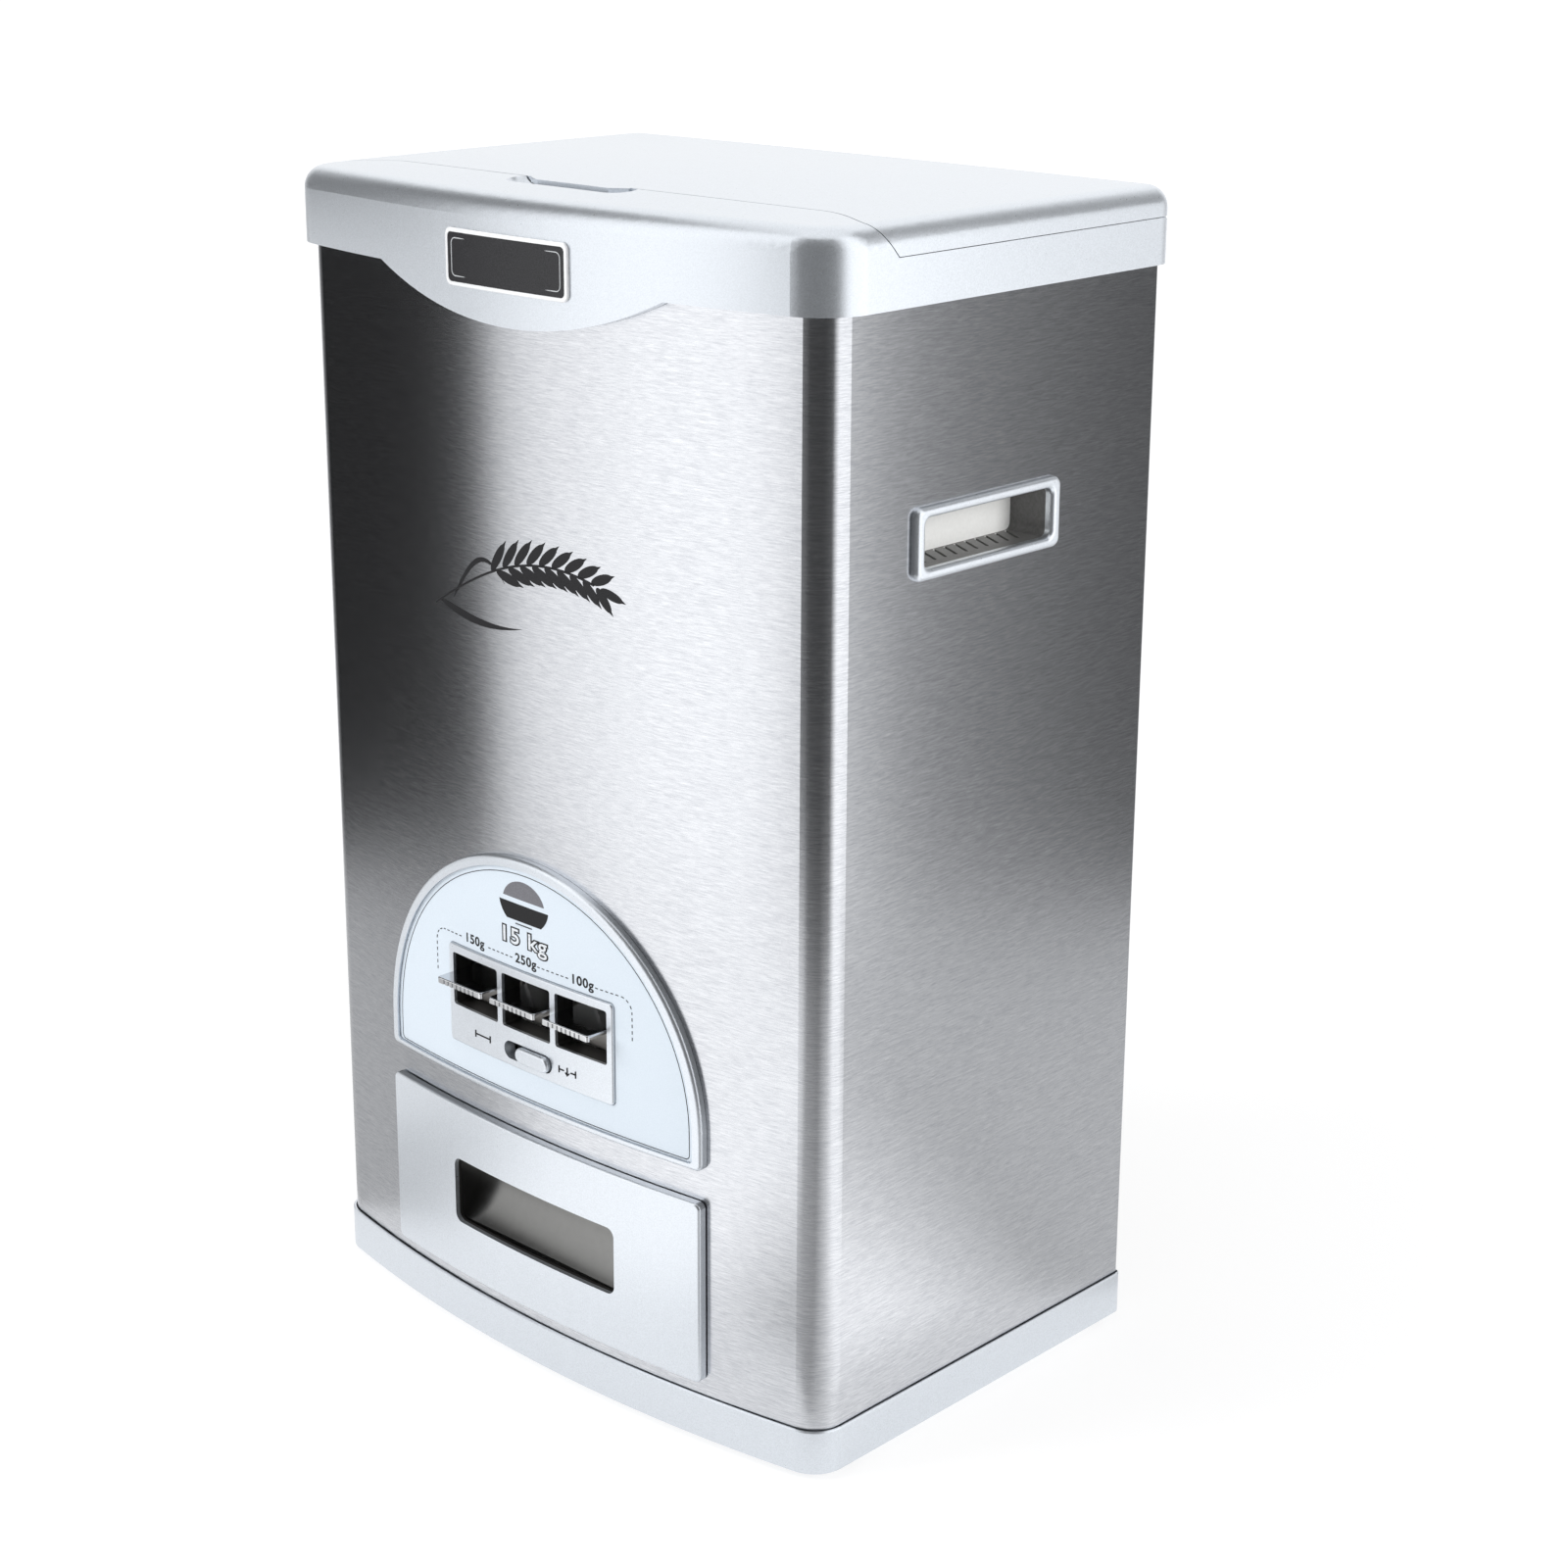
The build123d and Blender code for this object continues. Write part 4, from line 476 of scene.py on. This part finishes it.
def bow_text(name, words, x, z, height, offset, material, body, stretch, weight):
    """Words on the bow. The stretch widens them, and the weight fattens their strokes."""
    bpy.ops.object.text_add(location=(0, 0, 0))
    piece = bpy.context.object
    piece.name = name
    piece.data.body = words
    piece.data.size = height * SIZE_PER_HEIGHT
    piece.data.extrude = INK
    piece.data.offset = weight
    piece.data.space_character = LETTER_SPACING
    piece.data.align_x = "CENTER"
    piece.data.align_y = "CENTER"
    bpy.ops.object.convert(target="MESH")
    piece = bpy.context.object
    piece.scale = (stretch, 1, 1)
    bpy.ops.object.transform_apply(location=False, rotation=False, scale=True)
    piece.rotation_euler = (math.radians(90), 0, 0)
    piece.location = (x, 0, z)
    bpy.ops.object.transform_apply(location=True, rotation=True, scale=True)
    lay_on_bow(piece, offset)
    finish_piece(piece, material, body)
    return piece


LABEL_OFFSET = 0.0025
FRAME_OFFSET = 0.0037
STEEL_OFFSET = 0.0
MARK_Z, MARK_HEIGHT, MARK_STRETCH, MARK_WEIGHT = 0.1882, 0.0041, 1.10, 0.00014
LOAD_X, LOAD_Z, LOAD_HEIGHT, LOAD_STRETCH = -0.0020, 0.1972, 0.0070, 1.26
OUTLINE_WEIGHT, FILL_WEIGHT = 0.00072, 0.0001


def weight_mark(name, words, x):
    return bow_text(
        name, words, x, MARK_Z, MARK_HEIGHT, LABEL_OFFSET, black_ink, "cabinet", MARK_STRETCH, MARK_WEIGHT
    )


def load_mark(name, offset, material, weight):
    return bow_text(
        name, "15 kg", LOAD_X, LOAD_Z, LOAD_HEIGHT, offset, material, "cabinet", LOAD_STRETCH, weight
    )


marks = [
    weight_mark("mark_150", "150g", -0.0335),
    weight_mark("mark_250", "250g", -0.0006),
    weight_mark("mark_100", "100g", 0.0327),
    load_mark("mark_load", LABEL_OFFSET, black_ink, OUTLINE_WEIGHT),
    load_mark("mark_load_fill", LABEL_OFFSET + INK, white_ink, FILL_WEIGHT),
]
print("marks", [(m.name, len(m.data.vertices)) for m in marks])

# %% [markdown]
# Fine printed lines are thin tubes half sunk into the film. A curve object takes the points, and its
# bevel gives the thickness. The border follows the dome, and the dashed guide runs over the keys.


# %% Printed lines
def bow_line(name, points, offset, radius, material, body, closed=False):
    curve = bpy.data.curves.new(name, "CURVE")
    curve.dimensions = "3D"
    curve.bevel_depth = radius
    curve.bevel_resolution = 2
    runs = points if isinstance(points[0], list) else [points]
    for run in runs:
        spline = curve.splines.new("POLY")
        spline.points.add(len(run) - 1)
        for point, (x, z) in zip(spline.points, run):
            point.co = (x, bow_y(x, offset), z, 1)
        spline.use_cyclic_u = closed
    curve.use_fill_caps = True
    piece = bpy.data.objects.new(name, curve)
    bpy.context.scene.collection.objects.link(piece)
    only(piece)
    bpy.ops.object.convert(target="MESH")
    piece = bpy.context.object
    finish_piece(piece, material, body)
    return piece


PANEL_CENTRE_Z = 0.1366
BORDER_RADIUS = 0.00018
GUIDE_RADIUS = 0.00022
GUIDE_STEP = 0.00035


def dome_points(radius, bottom, corner, steps=64):
    """Outline of the panel: a half circle on straight sides with rounded lower corners."""
    points = []
    for index in range(steps + 1):
        angle = math.pi * index / steps
        points.append((radius * math.cos(angle), PANEL_CENTRE_Z + radius * math.sin(angle)))
    for side, start in ((-1, math.pi), (1, 1.5 * math.pi)):
        for index in range(9):
            angle = start + index * math.pi / 16
            points.append(
                (
                    side * (radius - corner) + corner * math.cos(angle),
                    bottom + corner + corner * math.sin(angle),
                )
            )
    lower = points[steps + 1 :]
    full = points[: steps + 1]
    for (x0, z0), (x1, z1) in zip(lower, lower[1:] + [full[0]]):
        full.append((x0, z0))
        run = abs(x1 - x0)
        if run > 0.01:
            full += [(x0 + (x1 - x0) * k / 20, z0 + (z1 - z0) * k / 20) for k in range(1, 20)]
    return full


border = bow_line(
    "label_border",
    dome_points(0.0890, 0.1266, 0.002),
    LABEL_OFFSET,
    BORDER_RADIUS,
    line_ink,
    "cabinet",
    closed=True,
)


def guide_points():
    """Path of the dashed guide: up the left side, over the keys and down the right side."""
    top, side, corner, low = 0.1878, 0.0600, 0.0060, 0.1680
    rise = range(int((top - corner - low) / GUIDE_STEP))
    across = range(int(2 * (side - corner) / GUIDE_STEP))
    turn = [k * math.pi / 54 for k in range(28)]
    path = [(-side, low + k * GUIDE_STEP) for k in rise]
    path += [(-side + corner - corner * math.cos(a), top - corner + corner * math.sin(a)) for a in turn]
    path += [(-side + corner + k * GUIDE_STEP, top) for k in across]
    path += [(side - corner + corner * math.sin(a), top - corner + corner * math.cos(a)) for a in turn]
    path += [(side, top - corner - k * GUIDE_STEP) for k in rise]
    return path


# The guide stops where a weight stands in it. Only its level run, above this height, has breaks.
BREAKS_ABOVE_Z = 0.1875
GUIDE_BREAKS = ((-0.0408, -0.0262), (-0.0080, 0.0068), (0.0254, 0.0402))


def dashes(path, mark, gap, breaks):
    """Cuts a path into dashes and leaves out those that fall in a break along X."""
    runs = []
    step = mark + gap
    for start in range(0, len(path) - mark, step):
        run = path[start : start + mark + 1]
        middle_x, middle_z = run[len(run) // 2]
        hidden = middle_z > BREAKS_ABOVE_Z and any(low < middle_x < high for low, high in breaks)
        if not hidden:
            runs.append(run)
    return runs


guide = bow_line(
    "dashed_guide",
    dashes(guide_points(), 4, 4, GUIDE_BREAKS),
    LABEL_OFFSET,
    GUIDE_RADIUS,
    line_ink,
    "cabinet",
)
print("border and guide", len(border.data.vertices), len(guide.data.vertices))

# %% [markdown]
# The small bowl sign above the keys is a mound of rice over a bowl. Both start as a flat disc that is
# stretched and cut in edit mode. A wide flat shape has no points inside it, so it would cut straight
# through the bow. It is therefore sliced into narrow strips before it is bent.


# %% Flat shapes for printed signs
def flat_disc(name, segments, radius_x, radius_z, x, z):
    bpy.ops.object.select_all(action="DESELECT")
    bpy.ops.mesh.primitive_circle_add(
        vertices=segments, radius=1.0, fill_type="NGON", rotation=(math.radians(90), 0, 0)
    )
    piece = bpy.context.object
    piece.name = name
    bpy.ops.object.transform_apply(location=True, rotation=True, scale=True)
    bpy.ops.object.mode_set(mode="EDIT")
    bpy.ops.mesh.select_all(action="SELECT")
    bpy.ops.transform.resize(value=(radius_x, 1, radius_z))
    bpy.ops.transform.translate(value=(x, 0, z))
    bpy.ops.object.mode_set(mode="OBJECT")
    return piece


def cut_flat(piece, point, normal):
    """Keeps the side of a flat shape that the normal points to."""
    only(piece)
    bpy.ops.object.mode_set(mode="EDIT")
    bpy.ops.mesh.select_all(action="SELECT")
    bpy.ops.mesh.bisect(plane_co=point, plane_no=normal, clear_inner=True, clear_outer=False)
    bpy.ops.object.mode_set(mode="OBJECT")


def slice_along_x(piece, step=0.0025):
    """Cuts a flat shape into upright strips, so that it can follow the bow."""
    only(piece)
    places = [vertex.co.x for vertex in piece.data.vertices]
    first, last = min(places), max(places)
    bpy.ops.object.mode_set(mode="EDIT")
    for index in range(1, int((last - first) / step) + 1):
        bpy.ops.mesh.select_all(action="SELECT")
        bpy.ops.mesh.bisect(plane_co=(first + index * step, 0, 0), plane_no=(1, 0, 0))
    bpy.ops.object.mode_set(mode="OBJECT")


def thicken(piece, thickness=2 * INK):
    """Gives a flat shape its ink thickness, with the faces pointing outward."""
    only(piece)
    bpy.ops.object.mode_set(mode="EDIT")
    bpy.ops.mesh.select_all(action="SELECT")
    bpy.ops.mesh.extrude_region_move(TRANSFORM_OT_translate={"value": (0, -thickness, 0)})
    bpy.ops.mesh.select_all(action="SELECT")
    bpy.ops.transform.translate(value=(0, thickness / 2, 0))
    bpy.ops.mesh.remove_doubles(threshold=0.000001)
    bpy.ops.mesh.normals_make_consistent(inside=False)
    bpy.ops.object.mode_set(mode="OBJECT")


def print_on_bow(piece, offset, material):
    slice_along_x(piece)
    thicken(piece)
    lay_on_bow(piece, offset)
    finish_piece(piece, material, "cabinet")
    return piece


# %% Bowl sign
BOWL_X = -0.0012
mound = flat_disc("sign_mound", 48, 0.0128, 0.0100, BOWL_X, 0.2126)
cut_flat(mound, (0, 0, 0.2146), (0, 0, 1))
print_on_bow(mound, LABEL_OFFSET, grey_ink)

bowl = flat_disc("sign_bowl", 48, 0.0151, 0.0125, BOWL_X, 0.2140)
cut_flat(bowl, (0, 0, 0.2124), (0, 0, -1))
cut_flat(bowl, (0, 0, 0.2050), (0, 0, 1))
print_on_bow(bowl, LABEL_OFFSET, black_ink)

bow_line(
    "sign_foot",
    [(BOWL_X - 0.0050 + 0.001 * k, 0.2036) for k in range(11)],
    LABEL_OFFSET,
    0.00025,
    black_ink,
    "cabinet",
)
print("bowl sign", len(mound.data.vertices), len(bowl.data.vertices))

# %% [markdown]
# Two small signs beside the slide say which way opens the outlet. An unbroken bar between two posts is
# a shut gate. A broken bar with an arrow through it is an open one.

# %% Gate signs beside the slide
GATE_Z = 0.1469
GATE_HALF = 0.0048
GATE_POST = 0.0015
GATE_LINE = 0.00034
ARROW_REACH = 0.0018
SHUT_X, OPEN_X = -0.0280, 0.0246


def gate_posts(x):
    return [
        [(x - GATE_HALF, GATE_Z - GATE_POST), (x - GATE_HALF, GATE_Z + GATE_POST)],
        [(x + GATE_HALF, GATE_Z - GATE_POST), (x + GATE_HALF, GATE_Z + GATE_POST)],
    ]


shut_bar = [(SHUT_X - GATE_HALF + 0.0016 * k, GATE_Z) for k in range(7)]
open_bars = [
    [(OPEN_X - GATE_HALF, GATE_Z), (OPEN_X - 0.0020, GATE_Z)],
    [(OPEN_X + 0.0020, GATE_Z), (OPEN_X + GATE_HALF, GATE_Z)],
]
arrow_tip = (OPEN_X, GATE_Z - ARROW_REACH)
arrow = [
    [(OPEN_X, GATE_Z + ARROW_REACH), arrow_tip],
    [(OPEN_X - 0.0011, GATE_Z - 0.0006), arrow_tip, (OPEN_X + 0.0011, GATE_Z - 0.0006)],
]
bow_line("sign_shut", [shut_bar] + gate_posts(SHUT_X), FRAME_OFFSET, GATE_LINE, black_ink, "cabinet")
bow_line(
    "sign_open", open_bars + gate_posts(OPEN_X) + arrow, FRAME_OFFSET, GATE_LINE, black_ink, "cabinet"
)

# %% [markdown]
# A printed ear of rice stands on the steel, above the middle. One grain is modelled from a disc whose
# tip is drawn out. Copies sit in pairs along a stem that bends under their weight, and two long leaves
# grow from its foot. All are joined into one piece.

# %% Ear of rice on the steel
STEM_START, STEM_END = -0.0560, 0.0400


def stem_point(t):
    """Point on the stem, from the cut end at the left to the drooping tip at the right."""
    x = STEM_START + (STEM_END - STEM_START) * t
    return x, 0.3265 + 0.0310 * math.sin(math.pi * (0.04 + 0.60 * t))


def stem_angle(t):
    (x0, z0), (x1, z1) = stem_point(t - 0.01), stem_point(t + 0.01)
    return math.atan2(z1 - z0, x1 - x0)


def grain_at(name, t, lean, length, width):
    """One husked grain whose root is on the stem and which leans away from it."""
    x, z = stem_point(t)
    piece = flat_disc(name, 20, length / 2, width / 2, length * 0.56, 0)
    tip = max(piece.data.vertices, key=lambda vertex: vertex.co.x)
    tip.co.x += length * 0.16
    piece.rotation_euler = (0, -(stem_angle(t) + lean), 0)
    piece.location = (x, 0, z)
    only(piece)
    bpy.ops.object.transform_apply(location=True, rotation=True, scale=True)
    return piece


def leaf_at(name, root_x, root_z, length, lift, width):
    """A long leaf: a disc drawn out to a blade and bent along an arch."""
    piece = flat_disc(name, 48, length / 2, width / 2, length / 2, 0)
    for vertex in piece.data.vertices:
        t = vertex.co.x / length
        vertex.co.z = vertex.co.z * (1.15 - t) + lift * math.sin(math.pi * 0.80 * t) + root_z
        vertex.co.x += root_x
    return piece


grains = []
GRAIN_PAIRS = 9
for index in range(GRAIN_PAIRS):
    t = 0.38 + 0.60 * index / (GRAIN_PAIRS - 1)
    size = 0.0145 - 0.0030 * index / (GRAIN_PAIRS - 1)
    grains.append(grain_at(f"grain_up_{index}", t, math.radians(34), size, 0.0042))
    grains.append(grain_at(f"grain_down_{index}", t + 0.03, math.radians(-34), size, 0.0042))
grains.append(grain_at("grain_tip", 1.03, 0.0, 0.0120, 0.0038))
leaves = [
    leaf_at("leaf_low", -0.0530, 0.3322, 0.0520, -0.0050, 0.0044),
    leaf_at("leaf_high", -0.0440, 0.3350, 0.0330, 0.0190, 0.0036),
]
for piece in grains + leaves:
    slice_along_x(piece, 0.004)
    thicken(piece)
only(grains[0])
for piece in grains + leaves:
    piece.select_set(True)
bpy.ops.object.join()
ear = bpy.context.object
ear.name = "rice_ear_print"
lay_on_bow(ear, STEEL_OFFSET)
finish_piece(ear, black_ink, "cabinet")
stem = bow_line(
    "rice_stem_print",
    [stem_point(k / 60) for k in range(61)],
    STEEL_OFFSET,
    0.00050,
    black_ink,
    "cabinet",
)
print("ear of rice", len(ear.data.vertices), len(stem.data.vertices))

# %% [markdown]
# The badge is left without words. A fine silver frame line runs inside its dark field.

# %% Badge line
BADGE_OFFSET = 0.0063
BADGE_Z = 0.4754
FRAME_HALF_X, FRAME_HALF_Z, FRAME_CORNER = 0.0312, 0.0074, 0.0022
badge_points = [
    (
        side_x * (FRAME_HALF_X - FRAME_CORNER) + FRAME_CORNER * math.cos(angle),
        BADGE_Z + side_z * (FRAME_HALF_Z - FRAME_CORNER) + FRAME_CORNER * math.sin(angle),
    )
    for side_x, side_z, start in ((1, 1, 0), (-1, 1, 90), (-1, -1, 180), (1, -1, 270))
    for angle in [math.radians(start + 15 * k) for k in range(7)]
]
bow_line("badge_line", badge_points, BADGE_OFFSET, 0.00022, pale_ink, "cabinet", closed=True)

# %% [markdown]
# The studio is white. The floor is nearly white and keeps the object's soft shadow. Camera, mirror and
# glass rays see plain white behind the object, while the light on it stays at a plain level.


# %% Floor and world
def picture_rays(tree):
    """1 for rays that show the surroundings directly, in a mirror or through glass."""
    path = add_node(tree, "ShaderNodeLightPath")
    first = add_node(tree, "ShaderNodeMath", operation="MAXIMUM")
    second = add_node(tree, "ShaderNodeMath", operation="MAXIMUM")
    join(tree, path.outputs["Is Camera Ray"], first.inputs[0])
    join(tree, path.outputs["Is Glossy Ray"], first.inputs[1])
    join(tree, first.outputs["Value"], second.inputs[0])
    join(tree, path.outputs["Is Transmission Ray"], second.inputs[1])
    return second.outputs["Value"]


world = bpy.data.worlds.new("studio_world")
bpy.context.scene.world = world
world.use_nodes = True
tree = world.node_tree
light = tree.nodes["Background"]
light.inputs["Color"].default_value = (0.97, 0.98, 1.0, 1)
light.inputs["Strength"].default_value = 0.30
white = add_node(tree, "ShaderNodeBackground", Strength=1.0)
white.inputs["Color"].default_value = (1, 1, 1, 1)
blend = add_node(tree, "ShaderNodeMixShader")
join(tree, picture_rays(tree), blend.inputs["Fac"])
join(tree, light.outputs["Background"], blend.inputs[1])
join(tree, white.outputs["Background"], blend.inputs[2])
join(tree, blend.outputs["Shader"], tree.nodes["World Output"].inputs["Surface"])

bpy.ops.mesh.primitive_plane_add(size=60, location=(0, 0, 0))
floor = bpy.context.object
floor.name = "studio_floor"
floor_paint, tree, shader = new_material("floor_paint")
tree.nodes.remove(shader)
matt = add_node(tree, "ShaderNodeBsdfDiffuse")
matt.inputs["Color"].default_value = (0.32, 0.32, 0.32, 1)
glow = add_node(tree, "ShaderNodeEmission", Strength=1.0)
place = add_node(tree, "ShaderNodeTexCoord")
away = add_node(tree, "ShaderNodeVectorMath", operation="LENGTH")
fade = add_node(tree, "ShaderNodeMapRange")
fade.inputs["From Min"].default_value = 0.5
fade.inputs["From Max"].default_value = 3.2
fade.inputs["To Min"].default_value = 0.66
fade.inputs["To Max"].default_value = 0.94
join(tree, place.outputs["Object"], away.inputs[0])
join(tree, away.outputs["Value"], fade.inputs["Value"])
path = add_node(tree, "ShaderNodeLightPath")
lift = add_node(tree, "ShaderNodeMath", operation="MULTIPLY_ADD")
lift.inputs[1].default_value = 0.08
join(tree, path.outputs["Is Camera Ray"], lift.inputs[0])
join(tree, fade.outputs["Result"], lift.inputs[2])
join(tree, lift.outputs["Value"], glow.inputs["Strength"])
add_up = add_node(tree, "ShaderNodeAddShader")
join(tree, matt.outputs["BSDF"], add_up.inputs[0])
join(tree, glow.outputs["Emission"], add_up.inputs[1])
join(tree, add_up.outputs["Shader"], tree.nodes["Material Output"].inputs["Surface"])
floor.data.materials.append(floor_paint)


# %% Lamps
def soft_lamp(name, place, aim, size, power):
    data = bpy.data.lights.new(name, "AREA")
    data.shape = "DISK"
    data.size = size
    data.energy = power
    lamp = bpy.data.objects.new(name, data)
    bpy.context.scene.collection.objects.link(lamp)
    lamp.location = place
    lamp.visible_glossy = False
    direction = [a - b for a, b in zip(aim, place)]
    lamp.rotation_euler = Vector(direction).to_track_quat("-Z", "Y").to_euler()
    return lamp


soft_lamp("lamp_top", (-0.2, -0.3, 1.9), (0, 0, 0.3), 1.4, 14)
soft_lamp("lamp_left", (-1.1, -1.5, 1.1), (0, 0, 0.25), 1.2, 24)
soft_lamp("lamp_right", (1.9, 0.3, 1.0), (0, 0, 0.25), 1.2, 26)

# %% [markdown]
# Lacquered plastic is lit by three plain white cards close by. One stands on the bin's right and a little
# behind it, and one on its left. The third lies just above the floor on the left and shines upward. They
# are linked to the lacquered pieces only, because in the brushed steel they would show as hard patches.

# %% Cards for the lacquer
lacquered = bpy.data.collections.new("lacquered_pieces")
for name in PLAIN_LACQUER + ["key_frame", "drawer_front"]:
    lacquered.objects.link(nodes[name])


def lacquer_card(name, compass, distance, height, size, brightness):
    """An upright card at a compass angle, turned to the bin. Brightness 1 is plain white."""
    data = bpy.data.lights.new(name, "AREA")
    data.shape = "RECTANGLE"
    data.size, data.size_y = size
    data.energy = brightness * math.pi * size[0] * size[1]
    card = bpy.data.objects.new(name, data)
    bpy.context.scene.collection.objects.link(card)
    angle = math.radians(compass)
    card.location = (distance * math.sin(angle), -distance * math.cos(angle), height)
    card.rotation_euler = Vector((card.location.x, card.location.y, 0)).to_track_quat("Z", "Y").to_euler()
    card.visible_camera = False
    card.light_linking.receiver_collection = lacquered
    return card


LOW_COMPASS = -68
low_card = lacquer_card("card_low", LOW_COMPASS, 0.45, 0.003, (0.36, 0.30), 0.34)
low_card.rotation_euler = (math.pi, 0, math.radians(LOW_COMPASS))
lacquer_card("card_right", 134, 0.62, 0.30, (0.36, 0.60), 0.70)
lacquer_card("card_left", -66, 0.62, 0.18, (0.40, 0.50), 0.72)

# %% [markdown]
# Steel shows what stands round it, so the studio has a reflection drum: a round wall and a floor ring
# that are seen in reflections only. They cast no shadow and give no diffuse light. Dark flags in it give
# the dark bands of a product picture. Its tones are a list of compass stops. Zero is in front of the
# bin, and positive angles go round to its right.

# %% Reflection drum
WALL_TONES = (
    (-180, 1.10),
    (-105, 1.05),
    (-88, 0.30),
    (-76, 0.022),
    (-56, 0.026),
    (-48.2, 0.045),
    (-44.4, 1.00),
    (-38, 1.20),
    (-26, 1.40),
    (-10, 1.42),
    (-6, 0.60),
    (0, 0.15),
    (14, 0.06),
    (52, 0.06),
    (72, 0.10),
    (86, 1.38),
    (121.6, 1.34),
    (124.8, 0.60),
    (126.6, 0.36),
    (128.5, 0.29),
    (140, 0.09),
    (152, 0.30),
    (180, 1.10),
)
FLOOR_TONES = (
    (-180, 0.90),
    (-100, 0.85),
    (-82, 0.60),
    (-54, 0.54),
    (-45, 0.56),
    (-38, 0.86),
    (-30, 1.20),
    (2, 1.38),
    (11, 1.05),
    (22, 0.52),
    (50, 0.40),
    (70, 0.90),
    (84, 1.30),
    (102, 1.28),
    (111, 0.92),
    (121, 0.60),
    (128, 0.63),
    (140, 0.64),
    (180, 0.85),
)


def drum_material(name, tones):
    material, tree, shader = new_material(name)
    tree.nodes.remove(shader)
    place = add_node(tree, "ShaderNodeTexCoord")
    split = add_node(tree, "ShaderNodeSeparateXYZ")
    turn = add_node(tree, "ShaderNodeMath", operation="MULTIPLY")
    turn.inputs[1].default_value = -1.0
    compass = add_node(tree, "ShaderNodeMath", operation="ARCTAN2")
    part_of_turn = add_node(tree, "ShaderNodeMapRange")
    part_of_turn.inputs["From Min"].default_value = -math.pi
    part_of_turn.inputs["From Max"].default_value = math.pi
    stops = add_node(tree, "ShaderNodeValToRGB")
    brightest = max(tone for _, tone in tones)
    elements = stops.color_ramp.elements
    elements[0].position = 0.0
    elements[1].position = 1.0
    for angle, _ in tones[1:-1]:
        elements.new((angle + 180) / 360)
    for element, (_, tone) in zip(elements, tones):
        element.color = (tone / brightest, tone / brightest, tone / brightest, 1)
    shine = add_node(tree, "ShaderNodeEmission", Strength=brightest)
    join(tree, place.outputs["Object"], split.inputs["Vector"])
    join(tree, split.outputs["Y"], turn.inputs[0])
    join(tree, split.outputs["X"], compass.inputs[0])
    join(tree, turn.outputs["Value"], compass.inputs[1])
    join(tree, compass.outputs["Value"], part_of_turn.inputs["Value"])
    join(tree, part_of_turn.outputs["Result"], stops.inputs["Fac"])
    join(tree, stops.outputs["Color"], shine.inputs["Color"])
    join(tree, shine.outputs["Emission"], tree.nodes["Material Output"].inputs["Surface"])
    return material


def reflection_only(piece, material):
    piece.data.materials.append(material)
    piece.visible_camera = False
    piece.visible_diffuse = False
    piece.visible_shadow = False
    piece.visible_transmission = False
    piece.visible_volume_scatter = False


def drum_ring(name, inner, outer, low, high, material):
    """A ring made by extruding a circle: upright where the radii are equal, else flat."""
    bpy.ops.object.select_all(action="DESELECT")
    bpy.ops.mesh.primitive_circle_add(vertices=180, radius=inner, location=(0, 0, low))
    piece = bpy.context.object
    piece.name = name
    bpy.ops.object.transform_apply(location=True, rotation=True, scale=True)
    bpy.ops.object.mode_set(mode="EDIT")
    bpy.ops.mesh.select_all(action="SELECT")
    bpy.ops.mesh.extrude_region_move(TRANSFORM_OT_translate={"value": (0, 0, high - low)})
    bpy.ops.transform.resize(value=(outer / inner, outer / inner, 1))
    bpy.ops.object.mode_set(mode="OBJECT")
    reflection_only(piece, material)
    return piece


DRUM_RADIUS = 0.70
drum_ring("drum_wall", DRUM_RADIUS, DRUM_RADIUS, 0.0, 1.5, drum_material("drum_wall_tones", WALL_TONES))
drum_ring("drum_floor", 0.21, DRUM_RADIUS, 0.0006, 0.0006, drum_material("drum_floor_tones", FLOOR_TONES))
print("drum stops", len(WALL_TONES), len(FLOOR_TONES))
